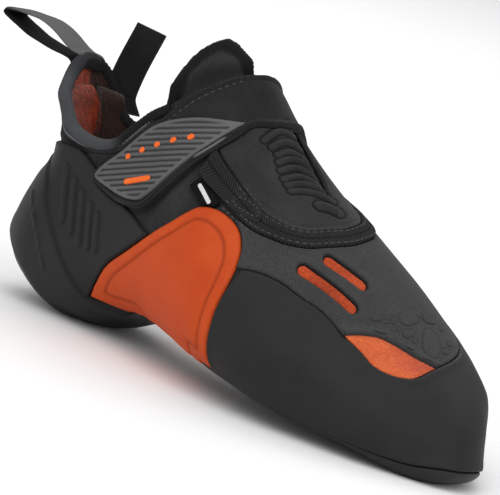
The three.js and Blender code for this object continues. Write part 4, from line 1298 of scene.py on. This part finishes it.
def flare(pts):
    """The tongue stands out from the leg where it rises past the collar."""
    start, end = side_view([RIM_OUTER[-5], RIM_OUTER[-2]])
    collar = start[1] + (end[1] - start[1]) / (end[0] - start[0]) * (pts[:, 0] - start[0])
    return FLARE * smoothstep(pts[:, 2] - collar, FLARE_FROM, FLARE_TO)


def tongue_relief(pts, normal, dist):
    edge = 0.9 * np.exp(-((dist - 1.6) / 1.5) ** 2)
    seam = -0.9 * np.exp(-((dist - 4.2) / 0.5) ** 2)
    pad = 0.9 * smoothstep(dist, 4.4, 12)
    return edge + seam + pad


def tongue_tone(pts, dist, height):
    return 1 - smoothstep(dist, 3.9, 4.3)


tongue = panel(
    "tongue_padding", "tongue", tongue_region, lambda pts, normal: flare(pts) - 4.3,
    lambda pts, normal: flare(pts) - 6.9, tongue_cloth, step=0.8, edge=1.3, closed=True,
    relief=tongue_relief, tone=tongue_tone,
)


# Collar binding, piping and stitching

def rim_points():
    """The collar line on the skin, from the front of the outer side round the heel to the inner."""
    sides = []
    for half, start in ((below_rim_outer, 0.98), (below_rim_inner, 0.02)):
        p = np.linspace(0.0, 0.5, 260)
        q = np.linspace(start, 0.5, 500)
        pts, _ = surface(p[:, None], q[None, :])
        inside = half(pts.reshape(-1, 3)).reshape(len(p), len(q))
        line = []
        for i in range(len(p)):
            cross = np.nonzero((inside[i, :-1] > 0) & (inside[i, 1:] <= 0))[0]
            if len(cross) == 0:
                continue
            k = cross[-1]
            t = inside[i, k] / (inside[i, k] - inside[i, k + 1])
            spot = (p[i], q[k] + t * (q[k + 1] - q[k]))
            if surface(np.array([spot[0]]), np.array([spot[1]]))[0][0, 0] <= BINDING_FRONT * LENGTH:
                line.append(spot)
        sides.append(np.array(line))
    path = np.vstack([sides[0][:0:-1], sides[1][1:]])
    pts, normal = surface(path[:, 0], path[:, 1])
    length = np.concatenate([[0], np.cumsum(np.linalg.norm(np.diff(pts, axis=0), axis=1))])
    even = np.linspace(0, length[-1], int(length[-1] / 0.5))
    pts = np.stack([np.interp(even, length, pts[:, k]) for k in range(3)], 1)
    normal = np.stack([np.interp(even, length, normal[:, k]) for k in range(3)], 1)
    for _ in range(6):
        normal[1:-1] = (normal[:-2] + 2 * normal[1:-1] + normal[2:]) / 4
        pts[1:-1] = (pts[:-2] + 2 * pts[1:-1] + pts[2:]) / 4
    normal /= np.linalg.norm(normal, axis=1)[:, None]
    run = np.gradient(pts, axis=0)
    run /= np.linalg.norm(run, axis=1)[:, None]
    up = np.cross(run, normal)
    up /= np.linalg.norm(up, axis=1)[:, None]
    if up[:, 2].mean() < 0:
        up = -up
    return pts, normal, up, even


def swept(rings, count):
    """Faces of rings of points laid side by side, closed at both ends."""
    faces = []
    for i in range(rings - 1):
        for j in range(count):
            k = (j + 1) % count
            faces.append([i * count + j, i * count + k, (i + 1) * count + k, (i + 1) * count + j])
    faces.append(list(range(count))[::-1])
    faces.append([(rings - 1) * count + j for j in range(count)])
    return faces


def collar_roll():
    """The rolled binding: light round the heel, darker and braided towards the front."""
    rim, rim_normal, rim_up, rim_length = rim_points()
    roll = spline(ROLL, closed=True, steps=2)
    centre = roll.mean(0)
    angle = np.arctan2(roll[:, 1] - centre[1], roll[:, 0] - centre[0])
    dark = np.maximum(smoothstep(rim[:, 0], 60, 66), smoothstep(rim[:, 1], 2, 6))
    tab = 0.6 * smoothstep(rim[:, 2], 80, 85)
    rings = []
    for i in range(len(rim)):
        braid = 0.07 * dark[i] * np.sin(2 * np.pi * rim_length[i] / 1.7 + 2 * angle)
        soft = 0.03 * math.sin(rim_length[i] * 0.35)
        shape = centre + (roll - centre) * (1 + braid + soft)[:, None]
        rings.append(rim[i] + rim_normal[i] * shape[:, :1] + rim_up[i] * shape[:, 1:])
    around = np.linspace(0, 1.6, len(roll))
    flow = np.concatenate([np.stack([np.full(len(roll), s / 10), around], 1) for s in rim_length])
    tone = np.repeat(np.maximum(dark, tab), len(roll))
    add_mesh("collar_roll", "collar_binding", np.vstack(rings), swept(len(rings), len(roll)), binding_cloth,
             flow=flow, tone=tone)


def tube(name, pts, normal, level, radius, material, slot):
    """A cord of a round section laid on the skin."""
    place = pts + normal * level
    run = np.gradient(place, axis=0)
    run /= np.linalg.norm(run, axis=1)[:, None]
    side = np.cross(run, normal)
    side /= np.linalg.norm(side, axis=1)[:, None]
    count = 10
    angle = np.linspace(0, 2 * np.pi, count, endpoint=False)
    ends = np.sqrt(np.clip(np.minimum(np.arange(len(place)), np.arange(len(place))[::-1]) / 2, 0.05, 1))
    rings = [place[i] + radius * ends[i] * (np.cos(angle)[:, None] * side[i]
                                            + np.sin(angle)[:, None] * normal[i])
             for i in range(len(place))]
    return add_mesh(name, None, np.vstack(rings), swept(len(rings), count), material)


def stitches(name, pts, normal, level, material, slot, length=1.7, gap=0.9, radius=0.28):
    """A row of short stitches sunk a little into the cloth."""
    run = np.gradient(pts, axis=0)
    run /= np.linalg.norm(run, axis=1)[:, None]
    start = np.concatenate([[0], np.cumsum(np.linalg.norm(np.diff(pts, axis=0), axis=1))])
    around = np.linspace(0, 2 * np.pi, 6, endpoint=False)
    verts = []
    faces = []
    place = 0.4
    while place + length < start[-1]:
        base = len(verts)
        for t in np.linspace(-1, 1, 5):
            at = place + length * (t + 1) / 2
            p, n, r = (np.array([np.interp(at, start, table[:, k]) for k in range(3)])
                       for table in (pts, normal, run))
            side = np.cross(r, n)
            size = radius * math.sqrt(max(1 - 0.85 * t * t, 0.05))
            middle = p + n * (level - 0.25 * radius - 0.5 * radius * t * t)
            verts.extend(middle + size * (math.cos(a) * side + math.sin(a) * n) for a in around)
        faces.extend([base + k for k in face] for face in swept(5, 6))
        place += length + gap
    return add_mesh(name, None, np.array(verts), faces, material)


def drape(points, y=-30.0):
    """Points of the skin under a line seen from the side, on the side that y lies on."""
    line = evenly(np.insert(spline(side_view(points)), 1, y, axis=1), 0.6)
    return settle(line, 1)


def drape_plan(line, z=60.0):
    """Points of the skin under a line seen from above."""
    return settle(evenly(np.column_stack([line, np.full(len(line), z)]), 0.6), 2)


def settle(line, axis):
    place = line.copy()
    for _ in range(8):
        pts, normal = on_skin(place)
        place[:, axis] = pts[:, axis]
    return pts, normal


collar_roll()
tube("collar_piping", *skin_line(COLLAR_PIPING), UPPER_LEVEL + 0.85, 0.55, piping_cloth, "collar_binding")
tube("collar_seam", *skin_line(COLLAR_LOW_SEAM), UPPER_LEVEL + 0.75, 0.3, dark_thread, "upper")
strap_front, strap_front_normal = drape(STRAP_FRONT_PIPING)
tube("strap_piping_dark", strap_front, strap_front_normal, STRAP_RISE - 0.4, 0.8, black_webbing, "strap")
tube("strap_piping_light", *drape(STRAP_LIGHT_PIPING), STRAP_RISE + 0.5, 0.5, piping_cloth, "strap")
stitches("strap_front_stitches", *drape(STRAP_FRONT_STITCHES), STRAP_RISE + 0.15, thread, "strap")
stitches("strap_top_stitches", *drape(STRAP_TOP_STITCHES), STRAP_RISE + 0.15, thread, "strap")
for number, offset in enumerate((TAPE_WIDTH / 2 + 1.0, -TAPE_WIDTH / 2 - 1.0)):
    row = beside(tape_curve, offset)
    row = row[(row[:, 0] > 122) & (row[:, 1] < 22)]
    stitches(f"seam_stitches_{number}", *drape_plan(row), 0.1, thread, "seam_tape")
for number, offset in enumerate((TAPE_WIDTH / 2 - 0.6, -TAPE_WIDTH / 2 + 0.6)):
    row = beside(tape_curve, offset)
    row = row[(row[:, 0] > 122) & (row[:, 1] < 22)]
    stitches(f"tape_stitches_{number}", *drape_plan(row), RAISED + 0.15, thread, "seam_tape")

tab_zone = plan_zone(TAB_PLAN)
panel("seam_tab", None, both(tab_zone, above(50)), RAISED + 0.7, RAISED - 0.4, tape_cloth, step=0.35,
      edge=0.5, relief=tape_relief, tone=tape_shade_and_stripe)
stitches("tab_stitches", *drape_plan(spline(plan_view(TAB_STITCHES), closed=True)), RAISED + 0.85, thread,
         "seam_tape", length=1.2, gap=0.7)


# Pull loops

def loop_ribbon(path, across, thickness, name, node, material, tone=None):
    """A webbing ribbon: a path of points with the direction across it."""
    run = np.gradient(path, axis=0)
    run /= np.linalg.norm(run, axis=1)[:, None]
    out = np.cross(run, across)
    out /= np.linalg.norm(out, axis=1)[:, None]
    edge = np.linspace(-1, 1, 25)
    bulge = thickness / 2 * np.sqrt(np.maximum(0, 1 - edge ** 8))
    half = LOOP_WIDTH / 2
    profile = np.vstack([np.column_stack([edge * half, bulge]),
                         np.column_stack([edge[::-1] * half, -bulge[::-1]])])
    rings = [path[i] + across[i] * profile[:, :1] + out[i] * profile[:, 1:] for i in range(len(path))]
    length = np.concatenate([[0], np.cumsum(np.linalg.norm(np.diff(path, axis=0), axis=1))])
    flow = np.concatenate([np.stack([profile[:, 0] / 10, np.full(len(profile), s / 10)], 1) for s in length])
    if tone is not None:
        tone = np.repeat(tone, len(profile))
    return add_mesh(name, node, np.vstack(rings), swept(len(rings), len(profile)), material, flow=flow,
                    tone=tone)


heel_line = spline(side_view(HEEL_LOOP_PATH), steps=8)
heel_path = np.insert(heel_line, 1, 0, axis=1)
heel_across = np.tile([0, 1.0, 0], (len(heel_path), 1))
place = np.arange(len(heel_path)) / len(heel_path)
lower_leg = np.maximum(1 - smoothstep(place, 0.42, 0.5), smoothstep(place, 0.86, 0.9))
loop_ribbon(heel_path, heel_across, WEBBING, "heel_loop_webbing", "heel_pull_loop", webbing, tone=lower_leg)

level = np.linspace(SIDE_LOOP_PATH[0, 0], SIDE_LOOP_PATH[-1, 0], 50)
side_path = np.stack([
    monotone(SIDE_LOOP_PATH, 1, level) * LENGTH,
    monotone(SIDE_LOOP_PATH, 2, level) * BALL_WIDTH,
    level * INSTEP_HEIGHT,
], 1)
turn = math.radians(SIDE_LOOP_TURN)
tilt = -SIDE_LOOP_TILT * smoothstep(level, 0.80, 1.0)
side_across = np.column_stack([np.full(50, math.cos(turn)), np.full(50, math.sin(turn)), tilt])
side_across /= np.linalg.norm(side_across, axis=1)[:, None]
loop_ribbon(side_path, side_across, 2 * WEBBING, "side_loop_webbing", "side_pull_loop", black_webbing)


# Camera, light and floor

AZIMUTH = 46.091
ELEVATION = 9.332
ROLL_ANGLE = 15.776
DISTANCE = 1854.0
TARGET = np.array([115.0, 0.0, 46.0])
PIXEL_FOCAL = 5267.0
CENTRE = (246.527, 255.263)
IMAGE = (500, 495)


def add_camera():
    a, e, r = (math.radians(v) for v in (AZIMUTH, ELEVATION, ROLL_ANGLE))
    back = Vector((math.sin(a) * math.cos(e), -math.cos(a) * math.cos(e), math.sin(e)))
    right = Vector((math.cos(a), math.sin(a), 0))
    up = back.cross(right)
    across = math.cos(r) * right + math.sin(r) * up
    upward = -math.sin(r) * right + math.cos(r) * up
    data = bpy.data.cameras.new("camera")
    data.sensor_fit = "HORIZONTAL"
    data.sensor_width = 36
    data.lens = PIXEL_FOCAL / IMAGE[0] * 36
    data.shift_x = (IMAGE[0] / 2 - CENTRE[0]) / IMAGE[0]
    data.shift_y = (CENTRE[1] - IMAGE[1] / 2) / IMAGE[0]
    data.clip_end = 20
    camera = bpy.data.objects.new("camera", data)
    bpy.context.scene.collection.objects.link(camera)
    target = Vector(((TARGET - [HEEL_REST * LENGTH, 0, 0]) * MM).tolist())
    place = target + back * DISTANCE * MM
    matrix = Matrix((
        (across.x, upward.x, back.x, place.x),
        (across.y, upward.y, back.y, place.y),
        (across.z, upward.z, back.z, place.z),
        (0, 0, 0, 1),
    ))
    camera.matrix_world = matrix
    bpy.context.scene.camera = camera


def add_light(name, place, size, power, target=(0.07, 0, 0.05)):
    data = bpy.data.lights.new(name, "AREA")
    data.shape = "DISK"
    data.size = size
    data.energy = power
    light = bpy.data.objects.new(name, data)
    bpy.context.scene.collection.objects.link(light)
    light.location = place
    aim = Vector(target) - Vector(place)
    light.rotation_euler = aim.to_track_quat("-Z", "Y").to_euler()


def add_floor():
    mesh = bpy.data.meshes.new("floor")
    steps = 8
    size = 3.0
    verts = [(-size + 2 * size * i / steps, -size + 2 * size * j / steps, 0)
             for i in range(steps + 1) for j in range(steps + 1)]
    faces = [(i * (steps + 1) + j, (i + 1) * (steps + 1) + j, (i + 1) * (steps + 1) + j + 1,
              i * (steps + 1) + j + 1) for i in range(steps) for j in range(steps)]
    mesh.from_pydata(verts, [], faces)
    mesh.materials.append(make_material("floor", (0.95, 0.95, 0.95), 0.9, second=(0.96, 0.96, 0.96),
                                        bump=0.0, specular=0.2))
    floor = bpy.data.objects.new("floor", mesh)
    bpy.context.scene.collection.objects.link(floor)


add_camera()
add_floor()
add_light("key", (0.3, -0.8, 1.3), 1.8, 10.5)
add_light("fill", (1.3, -0.3, 0.7), 1.2, 4)
add_light("back", (-0.7, 0.7, 1.0), 1.2, 5.5)
world = bpy.data.worlds.new("world")
world.use_nodes = True
world.node_tree.nodes["Background"].inputs["Color"].default_value = (1, 1, 1, 1)
world.node_tree.nodes["Background"].inputs["Strength"].default_value = 0.62
bpy.context.scene.world = world
bpy.context.scene.view_settings.view_transform = "Standard"
